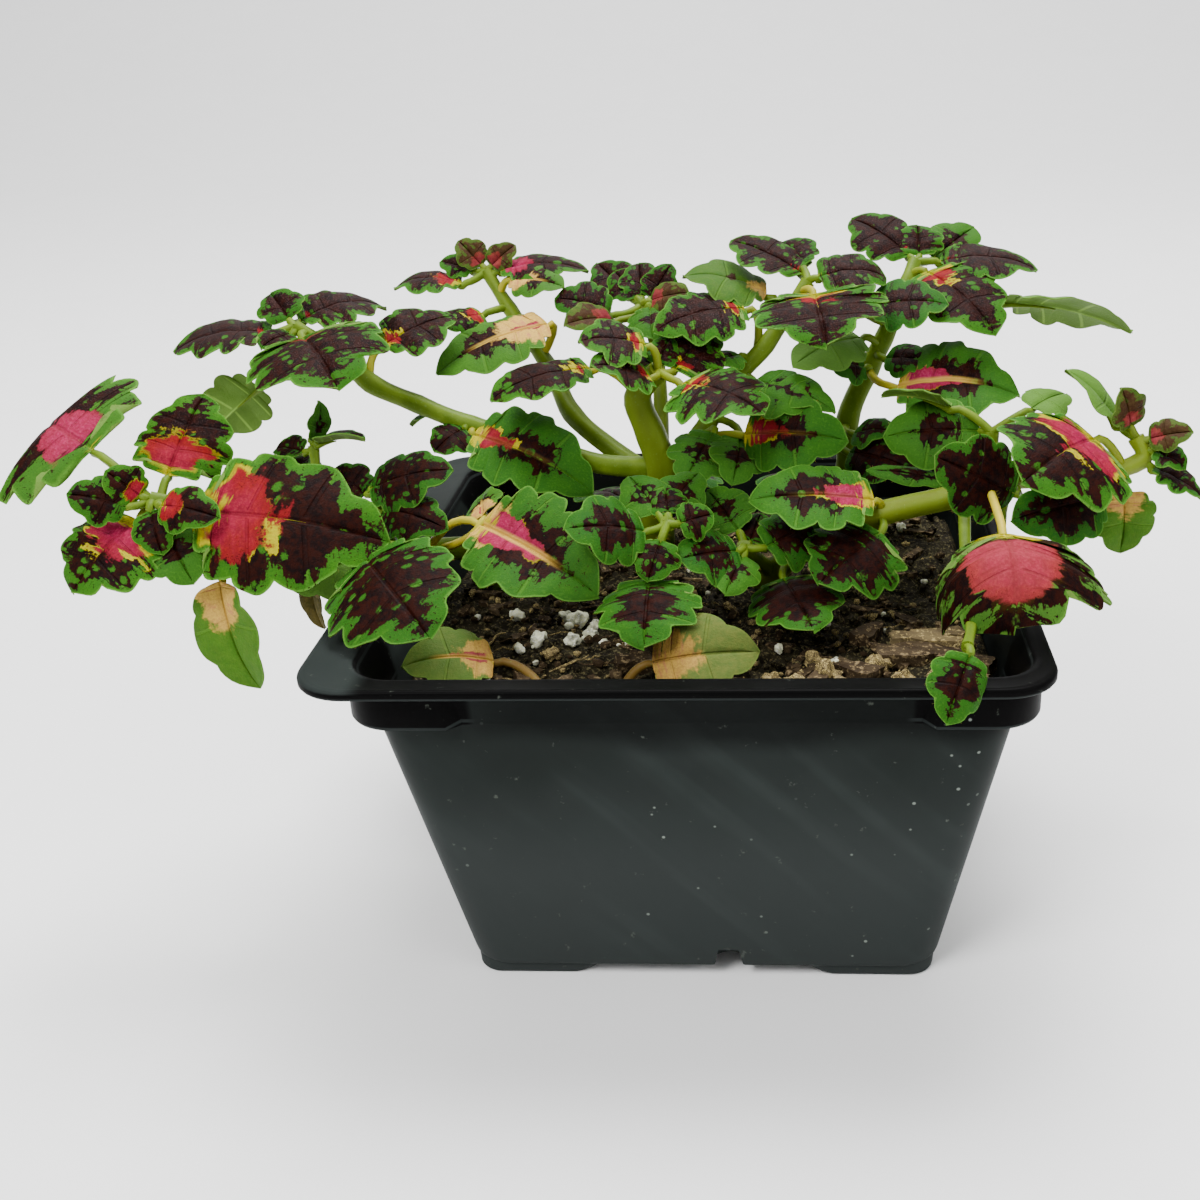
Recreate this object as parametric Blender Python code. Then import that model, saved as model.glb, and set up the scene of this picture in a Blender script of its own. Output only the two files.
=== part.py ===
"""Potted coleus: a square nursery pot, its potting mix and five leafy coleus plants.

Sizes are millimetres, turned into metres when a mesh is made. X runs to the right,
Y away from the viewer and Z up, first about the middle of the pot's underside. The last
step moves everything so that the middle of the whole object's footprint is the origin.
"""
import math
import random

import bpy
import bmesh
from mathutils import Vector

MM = 0.001
GAP = 0.3

# Triangles left by joining: edges under the first are collapsed, lower ones turned
SHORT_EDGE = 0.12
FLAT_HEIGHT = 0.03

# Pot: a tapered square tub with a wide flange, a lug at each corner and four feet
RIM_TOP = 66.6
RIM_HALF = 60.0
RIM_SWAY = -2.65
RIM_CORNER = 9.0
FLANGE = 1.0
LIP_DROP = 1.6
LIP_WIDTH = 0.9
MOUTH_HALF = 54.4
WALL = 1.2
LUG_BOTTOM = 57.3
LUG_PROUD = 3.0
LUG_LENGTH = 14.0
LUG_SLANT = 2.0
BODY_TOP_HALF = 52.7
BODY_FOOT_HALF = 42.6
BODY_FOOT = 3.6
BODY_CORNER = 8.0
UNDERSIDE = 2.2
FLOOR_TOP = 3.6
FOOT_SPAN = 27.0
FOOT_INSET = 2.0
FOOT_CORNER = 5.0
FOOT_SINK = 0.8
FOOT_TAPER = 0.93
DRAIN_WIDTH = 6.3
DRAIN_ASIDE = 4.7
DRAIN_INSET = 2.0
DRAIN_DEPTH = 9.0
FLOOR_ROUND = 1.4
ARC_STEPS = 3

# Potting mix: fills the tub to about 10 mm below the rim
SOIL_TOP = 56.0
SOIL_CELLS = 11
SOIL_CLEAR = 0.5
SOIL_CORNER = 10.0
HOLE_CLEAR = 0.5
HOLE_REACH = 8
SOIL_DIP = 0.6
SOIL_BEVEL = 1.6
PERLITE_COUNT = 16
PERLITE_SIZE = (1.1, 2.0)
PERLITE_FLAT = 0.8
PERLITE_PROUD = 0.1
BARK_COUNT = 11
BARK_SIZE = (2.6, 4.2)
BARK_LENGTH = 2.4
BARK_THICK = (2.2, 3.0)
BARK_TILT = 0.18
BARK_TAPER = 0.35
BARK_SUNK = 0.3
STEM_ROOM = 5
LEAF_ROOM = 9
LUMP_ROOM = 6
WALL_ROOM = 8
MIX_SEED = 7

# Leaves: blades 0.6 mm thick with round lobes, on narrow stalks
BLADE = 0.62
STALK_HALF = 0.75
LOBE_DEPTH = 0.075
OVATE = 0.30
FULLNESS = 0.85
WAVE = 0.035
WAVE_BEATS = 2.4
NOTCH = 0.6
MIDRIB_END = 0.98
MIDRIB_PULL = 1.12
STALK_SHARE = 0.62
STALK_BEND = 0.45
SHORT_STALK = 6
LONG_STALK = 14
MIDRIB_WIDTH = 13
STEM_STEPS = 2
STEM_SQUARE = 1.15

# Stems: route points (x, y, z) and radius; the first stem of each plant stands in the mix
PLANTS = {
    "left_plant": {
        "a": [(-41, 9, 44, 2.0), (-42, 8, 60, 2.1), (-46, 0, 67, 2.2), (-58, -14, 72, 2.0),
              (-72, -20, 79, 1.9), (-83, -25, 84, 1.7), (-93, -27, 87, 1.3)],
        "p": [(-56, -12, 71, 1.2), (-59, -6, 75, 1.1), (-61, -2, 79, 1.0)],
        "q": [(-68, -18, 77, 1.0), (-70, -8, 82, 0.9), (-71, -4, 89, 0.9)],
    },
    "central_plant": {
        "m": [(-11, 17, 44, 3.0), (-12, 16, 58, 3.0), (-9, 10, 73, 3.0), (-8, 8, 80, 3.2),
              (-10, 8, 87, 2.8), (-12, 8, 94, 2.6), (-8, 7, 99, 1.8)],
        "b": [(-8, 8, 80, 2.2), (-20, 8, 81, 2.0), (-31, 8, 85, 1.9), (-44, 8, 89, 1.8),
              (-54, 9, 93, 1.7), (-63, 10, 97, 1.8), (-68, 7, 104, 1.4), (-75, 6, 109, 1.2)],
        "c": [(-9, 10, 77, 2.0), (-18, 14, 82, 1.9), (-26, 18, 88, 1.8), (-31, 26, 95, 1.6),
              (-40, 36, 105, 1.3), (-45, 40, 112, 1.1)],
        "f": [(-9, 12, 76, 1.8), (-9, 22, 85, 1.6), (-10, 30, 97, 1.3), (-13, 34, 106, 1.1)],
        "g": [(-8, 10, 77, 2.1), (0, 14, 86, 2.0), (6, 16, 95, 1.9), (12, 18, 101, 1.7),
              (20, 22, 112, 1.3)],
    },
    "rear_right_plant": {
        "h": [(25, 27, 44, 2.6), (26, 26, 58, 2.6), (28, 26, 73, 2.5), (28, 26, 84, 2.3),
              (32, 26, 94, 2.1), (35, 27, 100, 1.8), (39, 30, 109, 1.5), (41, 34, 113, 1.2)],
    },
    "right_plant": {
        "r": [(10, 8, 44, 2.2), (11, 5, 56, 2.3), (13, -1, 62, 2.4), (18, -6, 68, 2.2),
              (30, -10, 76, 2.2), (46, -10, 80, 2.0), (55, -10, 83, 1.8), (67, -8, 82, 1.6),
              (78, -7, 85, 1.4), (77, -6, 89, 1.2)],
        "y": [(53, -10, 82, 1.4), (52, -6, 87, 1.3), (52, -5, 90, 1.2)],
        "n": [(13, -1, 62, 1.5), (9, -12, 70, 1.3), (8, -16, 73, 1.1)],
        "k": [(47, -10, 80, 1.3), (46, -25, 72, 1.0), (45, -42, 70, 0.9), (43, -54, 74, 0.8)],
    },
    "front_sprig": {
        "l": [(-10, 3, 44, 1.6), (-10, 3, 56, 1.6), (-8, -5, 66, 1.6), (-6, -13, 73, 1.5),
              (-5, -20, 79, 1.2)],
    },
}

# Leaves: stem, blade base, blade tip, width, lobes a side, way the blade faces, fold of
# the halves in degrees, arch as a share of the length
LEAVES = {
    "left_plant": [
        ("a", (-102, -24, 94), (-117, -11, 93), 31, 4, (-0.3, -0.4, 0.85), 0, 0.15),
        ("a", (-91, -23, 90), (-87, -11, 101), 18, 4, (0.1, -1, 1), 5, 0.06),
        ("a", (-95, -29, 84), (-104, -39, 75), 20, 4, (-0.3, -1, 1), 0, 0.08),
        ("a", (-85, -28, 85), (-52, -28, 80), 26, 4, (0, -1, 0.9), 5, 0.08),
        ("a", (-82, -30, 73), (-78, -33, 53), 15, 2, (-0.4, -1, 0.1), 20, 0.05),
        ("a", (-94, -28, 88), (-99, -29, 93), 8, 2, (0, -1, 1), 0, 0.1),
        ("a", (-90, -30, 87), (-79, -33, 86), 9, 2, (0.1, -1, 1), 0, 0.1),
        ("a", (-92, -30, 86), (-89, -35, 80), 8, 2, (0, -1, 1), 0, 0.1),
        ("a", (-96, -30, 87), (-105, -32, 90), 9, 2, (0, -1, 1), 0, 0.1),
        ("a", (-90, -30, 83), (-84, -36, 75), 12, 3, (0.2, -1, 0.8), 0, 0.1),
        ("a", (-69, -21, 71), (-68, -22, 60), 6, 2, (-0.5, -1, 0), 30, 0.05),
        ("a", (-60, -19, 73), (-70, -28, 71), 11, 3, (0, -1, 0.6), 0, 0.08),
        ("a", (-56, -30, 77), (-42, -48, 71), 24, 4, (-0.1, -0.9, 1), 0, 0.08),
        ("a", (-39, -14, 77), (-17, -28, 70), 22, 4, (0.35, -1, 0.8), 18, 0.06),
        ("a", (-39, -12, 78), (-40, -5, 80), 9, 2, (-0.6, -1, 0.6), 10, 0.05),
        ("p", (-62, -2, 80), (-46, -4, 85), 14, 3, (0, -0.6, 1), 0, 0.05),
        ("p", (-59, -5, 77), (-46, -12, 76), 11, 3, (0, -1, 1), 0, 0.08),
        ("p", (-63, -2, 79), (-70, 1, 83), 9, 2, (0, -1, 0.7), 0, 0.08),
        ("q", (-71, -4, 90), (-69, -2, 97), 6, 2, (1, -0.4, 0.2), 25, 0.05),
        ("q", (-70, -5, 90), (-60, -8, 92), 7, 2, (0.2, 0.1, 1), 25, 0.05),
        ("q", (-73, -4, 88), (-79, -2, 88), 7, 2, (0, -0.5, 1), 20, 0.1),
        ("q", (-71, -7, 84), (-79, 2, 85), 8, 2, (0, -0.8, 1), 0, 0.1),
    ],
    "central_plant": [
        ("b", (-79, 5, 108), (-97, 2, 106), 19, 4, (0, -0.1, 1), 5, 0.1),
        ("b", (-75, 10, 109), (-61, 20, 110), 17, 4, (0, -0.2, 1), 10, 0.12),
        ("b", (-72, 1, 108), (-62, -14, 103), 26, 4, (0.1, -0.6, 1), 10, 0.1),
        ("b", (-61, 14, 103), (-48, 22, 107), 16, 3, (0, -0.3, 1), 5, 0.08),
        ("b", (-84, 8, 97), (-95, 6, 88), 13, 3, (0.2, 1, 0.6), 20, 0.06),
        ("b", (-76, 7, 110), (-81, 13, 114), 9, 2, (0, -0.8, 1), 10, 0.1),
        ("b", (-75, 4, 108), (-79, -2, 107), 8, 2, (0, -0.6, 1), 10, 0.1),
        ("b", (-45, 6, 89), (-50, 1, 86), 9, 2, (0, -0.7, 1), 0, 0.1),
        ("b", (-49, 10, 91), (-57, 13, 88), 7, 2, (0, 0.1, 1), 10, 0.1),
        ("b", (-43, 5, 88), (-20, 0, 79), 19, 4, (0.1, -0.6, 1), 12, 0.06),
        ("c", (-50, 38, 110), (-64, 38, 110), 13, 3, (0, -0.1, 1), 5, 0.1),
        ("c", (-42, 40, 112), (-24, 40, 112), 13, 3, (0, -0.2, 1), 10, 0.08),
        ("c", (-39, 36, 111), (-28, 32, 110), 10, 3, (0, -0.5, 1), 10, 0.08),
        ("c", (-45, 32, 105), (-52, 26, 104), 10, 3, (0, -0.6, 1), 0, 0.08),
        ("c", (-46, 41, 113), (-51, 43, 118), 7, 2, (0.3, -1, 0.4), 15, 0.05),
        ("c", (-44, 40, 113), (-39, 42, 117), 6, 2, (-0.2, -1, 0.5), 15, 0.05),
        ("c", (-48, 41, 112), (-55, 42, 114), 7, 2, (0, -0.6, 1), 10, 0.05),
        ("c", (-31, 26, 104), (-52, 16, 98), 17, 4, (-0.1, -0.4, 1), 8, 0.06),
        ("m", (-21, 10, 99), (-39, 2, 97), 17, 4, (0, -0.2, 1), 8, 0.06),
        ("m", (-10, 7, 104), (-22, 4, 106), 16, 3, (0, -0.3, 1), 5, 0.08),
        ("m", (-9, 3, 99), (-19, -3, 103), 14, 3, (0, -0.4, 1), 5, 0.08),
        ("m", (-5, 8, 99), (2, 15, 105), 15, 3, (-0.1, -0.8, 1), 5, 0.06),
        ("m", (-3, 2, 98), (12, -7, 95), 20, 4, (0.2, -0.3, 1), 5, 0.08),
        ("m", (-8, 8, 100), (-6, 13, 104), 7, 2, (0, -1, 0.8), 5, 0.06),
        ("m", (-9, 8, 100), (-13, 15, 102), 7, 2, (0, -1, 0.8), 5, 0.06),
        ("m", (-17, 24, 68), (-27, 36, 65), 14, 3, (-0.2, 0.3, 1), 5, 0.08),
        ("m", (-6, 26, 70), (-2, 40, 67), 14, 3, (0, 0.3, 1), 5, 0.08),
        ("f", (-14, 35, 107), (-19, 42, 111), 9, 2, (0.2, -1, 0.8), 10, 0.05),
        ("f", (-13, 35, 107), (-14, 43, 113), 9, 2, (0, -1, 0.8), 10, 0.05),
        ("f", (-11, 34, 107), (-7, 38, 113), 8, 2, (-0.3, -1, 0.7), 10, 0.05),
        ("f", (-11, 32, 107), (-3, 29, 109), 8, 2, (0, -0.8, 1), 10, 0.06),
        ("f", (-16, 37, 107), (-23, 46, 112), 10, 3, (0.2, -1, 0.8), 10, 0.05),
        ("f", (-11, 30, 106), (-10, 22, 102), 10, 3, (0, -0.9, 1), 0, 0.06),
        ("f", (-19, 30, 105), (-30, 31, 108), 12, 3, (0, -0.6, 1), 10, 0.1),
        ("f", (-18, 28, 104), (-27, 21, 105), 9, 2, (0, -0.7, 1), 10, 0.1),
        ("g", (21, 15, 111), (23, 0, 105), 25, 4, (0, -0.9, 1), 10, 0.08),
        ("g", (22, 21, 113), (35, 23, 113), 16, 3, (0, -0.3, 1), 8, 0.1),
        ("g", (19, 25, 113), (5, 34, 118), 14, 3, (0, -0.3, 1), 10, 0.06),
        ("g", (19, 27, 114), (15, 38, 117), 10, 3, (0, -0.8, 1), 10, 0.06),
        ("g", (12, 26, 109), (-4, 26, 113), 16, 3, (0, -0.2, 1), 8, 0.1),
        ("g", (8, 18, 108), (-9, 12, 106), 17, 4, (0, -0.3, 1), 5, 0.08),
        ("g", (10, 14, 95), (25, 7, 91), 10, 3, (0.1, -0.4, 1), 10, 0.08),
        ("g", (11, 12, 94), (20, 6, 92), 13, 3, (0.1, -0.6, 1), 5, 0.08),
        ("g", (7, 14, 100), (2, 8, 100), 7, 2, (0, -0.5, 1), 5, 0.08),
        ("g", (8, 6, 87), (27, 2, 87), 16, 3, (0, -0.9, 0.8), 10, 0.08),
        ("g", (2, 7, 87), (-3, -3, 81), 13, 3, (-0.2, -1, 0.5), 0, 0.06),
        ("g", (7, 7, 86), (6, -4, 81), 11, 3, (0.2, -1, 0.5), 0, 0.06),
    ],
    "rear_right_plant": [
        ("h", (40, 35, 114), (29, 44, 120), 14, 3, (0, -0.4, 1), 8, 0.08),
        ("h", (46, 34, 113), (65, 34, 111), 16, 3, (0, -0.2, 1), 5, 0.1),
        ("h", (43, 29, 112), (55, 14, 104), 19, 4, (0.3, -0.8, 1), 5, 0.06),
        ("h", (57, 24, 107), (81, 20, 102), 18, 4, (0.2, 0.5, 1), 5, 0.06),
        ("h", (42, 35, 114), (42, 42, 119), 10, 3, (0, -1, 1), 8, 0.05),
        ("h", (45, 37, 113), (54, 48, 117), 12, 3, (0, -1, 1), 8, 0.05),
        ("h", (30, 22, 101), (17, 12, 99), 13, 3, (0, -0.5, 1), 0, 0.08),
        ("h", (31, 23, 95), (24, 19, 97), 9, 2, (0, -0.8, 1), 5, 0.08),
        ("h", (35, 22, 97), (44, 18, 97), 9, 2, (0, -0.8, 1), 5, 0.08),
        ("h", (32, 18, 108), (46, 16, 109), 14, 3, (0, -0.5, 1), 5, 0.06),
        ("h", (37, 16, 93), (59, 10, 94), 21, 4, (0, -0.6, 1), 15, 0.08),
        ("h", (20, 33, 69), (10, 43, 66), 14, 3, (-0.2, 0.3, 1), 5, 0.08),
        ("h", (34, 32, 71), (44, 42, 67), 15, 3, (0.2, 0.3, 1), 5, 0.08),
        ("h", (29, 19, 83), (36, 14, 85), 9, 2, (0, -0.6, 1), 5, 0.08),
        ("h", (28, 16, 80), (40, 8, 79), 12, 3, (0, -0.8, 1), 5, 0.08),
    ],
    "right_plant": [
        ("y", (50, -4, 90), (33, -2, 89), 15, 3, (0, -0.9, 0.8), 0, 0.08),
        ("y", (59, -4, 94), (66, 2, 95), 9, 2, (0, -0.4, 1), 10, 0.08),
        ("y", (45, -2, 94), (33, 2, 96), 13, 3, (0.1, 0.3, 1), 15, 0.06),
        ("r", (55, -15, 82), (41, -18, 90), 15, 3, (0, -1, 0.5), 0, 0.04),
        ("r", (69, -10, 90), (55, -26, 89), 25, 4, (-0.3, -1, 0.7), 5, 0.08),
        ("r", (74, -5, 91), (65, -3, 101), 9, 2, (0.6, -0.3, 0.6), 20, 0.05),
        ("r", (76, -6, 91), (74, -6, 98), 9, 2, (0.6, -1, 0.3), 15, 0.05),
        ("r", (79, -7, 89), (86, -9, 91), 7, 2, (0, -0.8, 1), 15, 0.05),
        ("r", (80, -8, 84), (88, -12, 80), 10, 3, (0.3, -0.2, 1), 15, 0.05),
        ("r", (80, -8, 87), (85, -11, 85), 7, 2, (0.2, -0.5, 1), 15, 0.05),
        ("r", (71, -12, 80), (54, -20, 79), 14, 3, (0, -1, 0.7), 0, 0.06),
        ("r", (75, -9, 80), (75, -11, 69), 13, 3, (0.3, -1, 0), 10, 0.05),
        ("r", (51, -32, 81), (52, -50, 76), 34, 4, (0.1, -0.8, 1), -8, 0.1),
        ("r", (58, -30, 72), (69, -34, 70), 9, 2, (0, 0.3, 1), 10, 0.05),
        ("k", (43, -57, 74), (37, -67, 66), 13, 3, (-0.2, -1, 0.3), 15, 0.05),
        ("r", (31, -12, 80), (9, -14, 81), 18, 4, (0, -0.4, 1), 10, 0.06),
        ("r", (32, -15, 75), (21, -25, 70), 19, 4, (0, -0.6, 1), 0, 0.06),
        ("r", (15, -14, 66), (20, -32, 64), 17, 4, (0, -1, 1.2), 0, 0.06),
        ("r", (44, -8, 82), (30, -4, 83), 5, 2, (0, -0.5, 1), 0, 0.05),
        ("n", (7, -18, 73), (-3, -24, 74), 13, 3, (0, -0.9, 1), 0, 0.06),
        ("n", (7, -13, 75), (1, -4, 80), 11, 3, (0, -1, 1), 10, 0.06),
        ("n", (12, -16, 73), (22, -9, 75), 13, 3, (0, -0.9, 1), 0, 0.06),
        ("n", (8, -18, 72), (5, -27, 69), 9, 2, (0, -1, 1), 0, 0.06),
        ("n", (9, -14, 73), (11, -7, 76), 7, 2, (0, -1, 1), 0, 0.06),
    ],
    "front_sprig": [
        ("l", (-9, -21, 78), (-22, -27, 81), 14, 3, (0, -0.7, 1), 0, 0.08),
        ("l", (-8, -26, 71), (-8, -41, 66), 18, 4, (0, -1, 1.2), 0, 0.06),
        ("l", (-6, -23, 77), (-8, -29, 72), 9, 2, (0, -1, 1), 0, 0.06),
        ("l", (-5, -18, 80), (-6, -11, 83), 8, 2, (0, -1, 1), 0, 0.06),
        ("l", (-3, -20, 79), (3, -18, 80), 8, 2, (0, -1, 1), 0, 0.06),
        ("l", (-5, -15, 80), (0, -6, 84), 9, 2, (0, -1, 1), 0, 0.06),
        ("l", (-7, -17, 80), (-13, -7, 84), 9, 2, (0, -1, 1), 0, 0.06),
    ],
}

# Long stalks that leave their stem further back than the nearest point, by blade base
STALK_ROOTS = {
    (-82, -30, 73): (-84, -25, 84),
    (-56, -30, 77): (-58, -14, 72),
    (-39, -14, 77): (-51, -7, 69),
    (-39, -12, 78): (-49, -5, 68),
    (-84, 8, 97): (-64, 10, 97),
    (-61, 14, 103): (-63, 10, 97),
    (-31, 26, 104): (-33, 28, 97),
    (-21, 10, 99): (-12, 8, 94),
    (12, 26, 109): (12, 18, 101),
    (8, 18, 108): (10, 17, 99),
    (57, 24, 107): (40, 32, 111),
    (37, 16, 93): (32, 26, 94),
    (32, 18, 108): (36, 28, 102),
    (51, -32, 81): (51, -10, 82),
    (58, -30, 72): (55, -10, 83),
    (69, -10, 90): (75, -7, 84),
    (8, 6, 87): (-2, 13, 84),
    (2, 7, 87): (-3, 12, 82),
}

# Fallen leaves that lie on the mix: blade base, blade tip, width, lobes, stalk end, bend
FALLEN_STALK = 1.3
FALLEN_FACE = (0, -0.15, 1)
FALLEN = {
    "fallen_leaf_left": ((-34, -35, 57), (-48, -41, 58.4), 14, 3, (-26, -38, 56.4), 4),
    "fallen_leaf_centre": ((-8, -38, 56.6), (10, -37, 58.1), 15, 3, (-12, -38, 56.3), 12),
}

COLOURS = {
    "pot": (0.035, 0.045, 0.045, 1),
    "potting_mix": (0.06, 0.035, 0.02, 1),
    "left_plant": (0.14, 0.3, 0.05, 1),
    "central_plant": (0.16, 0.32, 0.06, 1),
    "rear_right_plant": (0.12, 0.28, 0.05, 1),
    "right_plant": (0.18, 0.33, 0.07, 1),
    "front_sprig": (0.1, 0.3, 0.06, 1),
    "fallen_leaf_left": (0.4, 0.33, 0.16, 1),
    "fallen_leaf_centre": (0.36, 0.34, 0.18, 1),
}
ROUGHNESS = {"pot": 0.35, "potting_mix": 0.95}


def clear_scene():
    for obj in list(bpy.data.objects):
        bpy.data.objects.remove(obj, do_unlink=True)


def material(name):
    mat = bpy.data.materials.new(name)
    mat.use_nodes = True
    shader = mat.node_tree.nodes["Principled BSDF"]
    shader.inputs["Base Color"].default_value = COLOURS[name]
    shader.inputs["Roughness"].default_value = ROUGHNESS.get(name, 0.6)
    shader.inputs["Metallic"].default_value = 0.0
    return mat


def object_from(bm, name):
    """Turn a closed bmesh in millimetres into an object in metres."""
    bmesh.ops.recalc_face_normals(bm, faces=bm.faces)
    bmesh.ops.scale(bm, vec=(MM, MM, MM), verts=bm.verts)
    mesh = bpy.data.meshes.new(name)
    bm.to_mesh(mesh)
    bm.free()
    obj = bpy.data.objects.new(name, mesh)
    bpy.context.scene.collection.objects.link(obj)
    return obj


# Booleans: one modifier on a collection joins or cuts, is applied, and its objects go
def boolean(target, tools, operation, solver="MANIFOLD"):
    group = bpy.data.collections.new(target.name + "_tools")
    bpy.context.scene.collection.children.link(group)
    for tool in tools:
        bpy.context.scene.collection.objects.unlink(tool)
        group.objects.link(tool)
    modifier = target.modifiers.new("join", "BOOLEAN")
    modifier.operand_type = "COLLECTION"
    modifier.collection = group
    modifier.operation = operation
    modifier.solver = solver
    graph = bpy.context.evaluated_depsgraph_get()
    mesh = bpy.data.meshes.new_from_object(target.evaluated_get(graph))
    target.modifiers.clear()
    target.data = mesh
    for tool in tools:
        bpy.data.objects.remove(tool, do_unlink=True)
    bpy.data.collections.remove(group)
    keep_main_body(target)


def keep_main_body(obj):
    """Keep the largest connected shell in triangles, without scraps or sealed hollows."""
    bm = bmesh.new()
    bm.from_mesh(obj.data)
    for shell in shells_of(bm)[1:]:
        bmesh.ops.delete(bm, geom=shell, context="VERTS")
    split_faces(bm)
    for turn in range(2):
        collapse_short_edges(bm, SHORT_EDGE * MM)
        turn_flat_triangles(bm, FLAT_HEIGHT * MM)
    bm.to_mesh(obj.data)
    bm.free()


def collapse_short_edges(bm, limit):
    """Collapse edges shorter than the limit wherever the surface stays closed."""
    changed = True
    while changed:
        changed = False
        for edge in [edge for edge in bm.edges if edge.calc_length() < limit]:
            if not edge.is_valid:
                continue
            a, b = edge.verts
            around_a = {link.other_vert(a) for link in a.link_edges}
            around_b = {link.other_vert(b) for link in b.link_edges}
            if len(around_a & around_b) != 2:
                continue
            bmesh.ops.pointmerge(bm, verts=[a, b], merge_co=(a.co + b.co) / 2)
            changed = True


def turn_flat_triangles(bm, limit):
    """Turn the long edge of each triangle that is lower than the limit."""
    for face in list(bm.faces):
        if not face.is_valid:
            continue
        longest = max(face.edges, key=lambda edge: edge.calc_length())
        if 2 * face.calc_area() > limit * longest.calc_length() or len(longest.link_faces) != 2:
            continue
        far = [next(vertex for vertex in side.verts if vertex not in longest.verts)
               for side in longest.link_faces]
        if any(link.other_vert(far[0]) is far[1] for link in far[0].link_edges):
            continue
        bmesh.ops.rotate_edges(bm, edges=[longest])


def split_faces(bm):
    """Split every face into triangles, so that no cut line repeats an edge elsewhere."""
    source = bm.faces.layers.int.new("source")
    for index, face in enumerate(bm.faces):
        face[source] = index
    bmesh.ops.triangulate(bm, faces=bm.faces)
    crowded = [edge for edge in bm.edges if len(edge.link_faces) > 2]
    for edge in crowded:
        pairs = {}
        for face in edge.link_faces:
            pairs.setdefault(face[source], []).append(face)
        pair = next((faces for faces in pairs.values() if len(faces) == 2), [])
        ends = set(edge.verts)
        middle = (edge.verts[0].co + edge.verts[1].co) / 2
        fresh = None
        for face in pair:
            corners = list(face.verts)
            far = next(vertex for vertex in corners if vertex not in ends)
            if fresh is None:
                fresh = bm.verts.new(middle.lerp(far.co, 0.2))
            for end in ends:
                bm.faces.new([fresh if vertex is end else vertex for vertex in corners])
        if pair:
            bmesh.ops.delete(bm, geom=pair, context="FACES_ONLY")
    bm.faces.layers.int.remove(bm.faces.layers.int["source"])


def shells_of(bm):
    """Connected groups of vertices, the largest first."""
    left = set(bm.verts)
    shells = []
    while left:
        stack = [left.pop()]
        shell = list(stack)
        while stack:
            vertex = stack.pop()
            for edge in vertex.link_edges:
                other = edge.other_vert(vertex)
                if other in left:
                    left.remove(other)
                    shell.append(other)
                    stack.append(other)
        shells.append(shell)
    shells.sort(key=len, reverse=True)
    return shells


# Rings of the pot: a square with round corners and, at the lugs' height, proud corners
def ring_points(half, corner, height, proud=0.0, centre_x=0.0):
    arc_centre = half + proud - corner
    lug_end = half - LUG_LENGTH
    points = []
    for quarter in range(4):
        turn = quarter * math.pi / 2
        side = []
        side.append((half, lug_end - LUG_SLANT))
        side.append((half + proud, lug_end))
        for step in range(ARC_STEPS + 1):
            angle = step / ARC_STEPS * math.pi / 2
            side.append((arc_centre + corner * math.cos(angle),
                         arc_centre + corner * math.sin(angle)))
        side.append((lug_end, half + proud))
        side.append((lug_end - LUG_SLANT, half))
        for x, y in side:
            points.append((x * math.cos(turn) - y * math.sin(turn) + centre_x,
                           x * math.sin(turn) + y * math.cos(turn), height))
    return points


def outer_half(z):
    share = (z - BODY_FOOT) / (LUG_BOTTOM - BODY_FOOT)
    return BODY_FOOT_HALF + (BODY_TOP_HALF - BODY_FOOT_HALF) * share


def tub_rings():
    """The profile from the middle of the underside round the rim to the inside floor."""
    body_rim = outer_half(RIM_TOP - FLANGE)
    lug_top = LUG_PROUD + outer_half(LUG_BOTTOM) - body_rim
    lip_bottom = RIM_TOP - LIP_DROP
    rim_inner = RIM_HALF - LIP_WIDTH
    return [
        ring_points(BODY_FOOT_HALF - 1.6, BODY_CORNER - 1.6, UNDERSIDE),
        ring_points(BODY_FOOT_HALF, BODY_CORNER, BODY_FOOT),
        ring_points(outer_half(LUG_BOTTOM - 0.2), BODY_CORNER, LUG_BOTTOM - 0.2),
        ring_points(outer_half(LUG_BOTTOM), BODY_CORNER, LUG_BOTTOM + 0.6, LUG_PROUD),
        ring_points(body_rim, BODY_CORNER, RIM_TOP - FLANGE, lug_top),
        ring_points(rim_inner, RIM_CORNER, RIM_TOP - FLANGE, 0, RIM_SWAY),
        ring_points(rim_inner, RIM_CORNER, lip_bottom, 0, RIM_SWAY),
        ring_points(RIM_HALF, RIM_CORNER, lip_bottom, 0, RIM_SWAY),
        ring_points(RIM_HALF, RIM_CORNER, RIM_TOP, 0, RIM_SWAY),
        ring_points(MOUTH_HALF + 0.4, BODY_CORNER, RIM_TOP),
        ring_points(outer_half(RIM_TOP - 2) - WALL, BODY_CORNER - WALL, RIM_TOP - 2),
        ring_points(BODY_FOOT_HALF - WALL, BODY_CORNER - WALL, FLOOR_TOP + FLOOR_ROUND),
        ring_points(BODY_FOOT_HALF - WALL - FLOOR_ROUND, BODY_CORNER - 2.4, FLOOR_TOP),
    ]


def closed_loft(rings):
    """Extrude the first ring through all the others and close both ends."""
    bm = bmesh.new()
    loop = [bm.verts.new(point) for point in rings[0]]
    ends = [bm.faces.new(loop)]
    edges = list(bm.edges)
    for ring in rings[1:]:
        made = bmesh.ops.extrude_edge_only(bm, edges=edges)["geom"]
        fresh = [item for item in made if isinstance(item, bmesh.types.BMVert)]
        edges = [item for item in made if isinstance(item, bmesh.types.BMEdge)]
        follow = {}
        for vertex in fresh:
            for edge in vertex.link_edges:
                other = edge.other_vert(vertex)
                if other in loop:
                    follow[loop.index(other)] = vertex
        loop = [follow[index] for index in range(len(loop))]
        for vertex, point in zip(loop, ring):
            vertex.co = point
    ends.append(bm.faces.new(loop))
    # A fan from the middle keeps the two flat ends free of needle triangles
    bmesh.ops.poke(bm, faces=ends)
    bmesh.ops.triangulate(bm, faces=bm.faces)
    return bm


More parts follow.
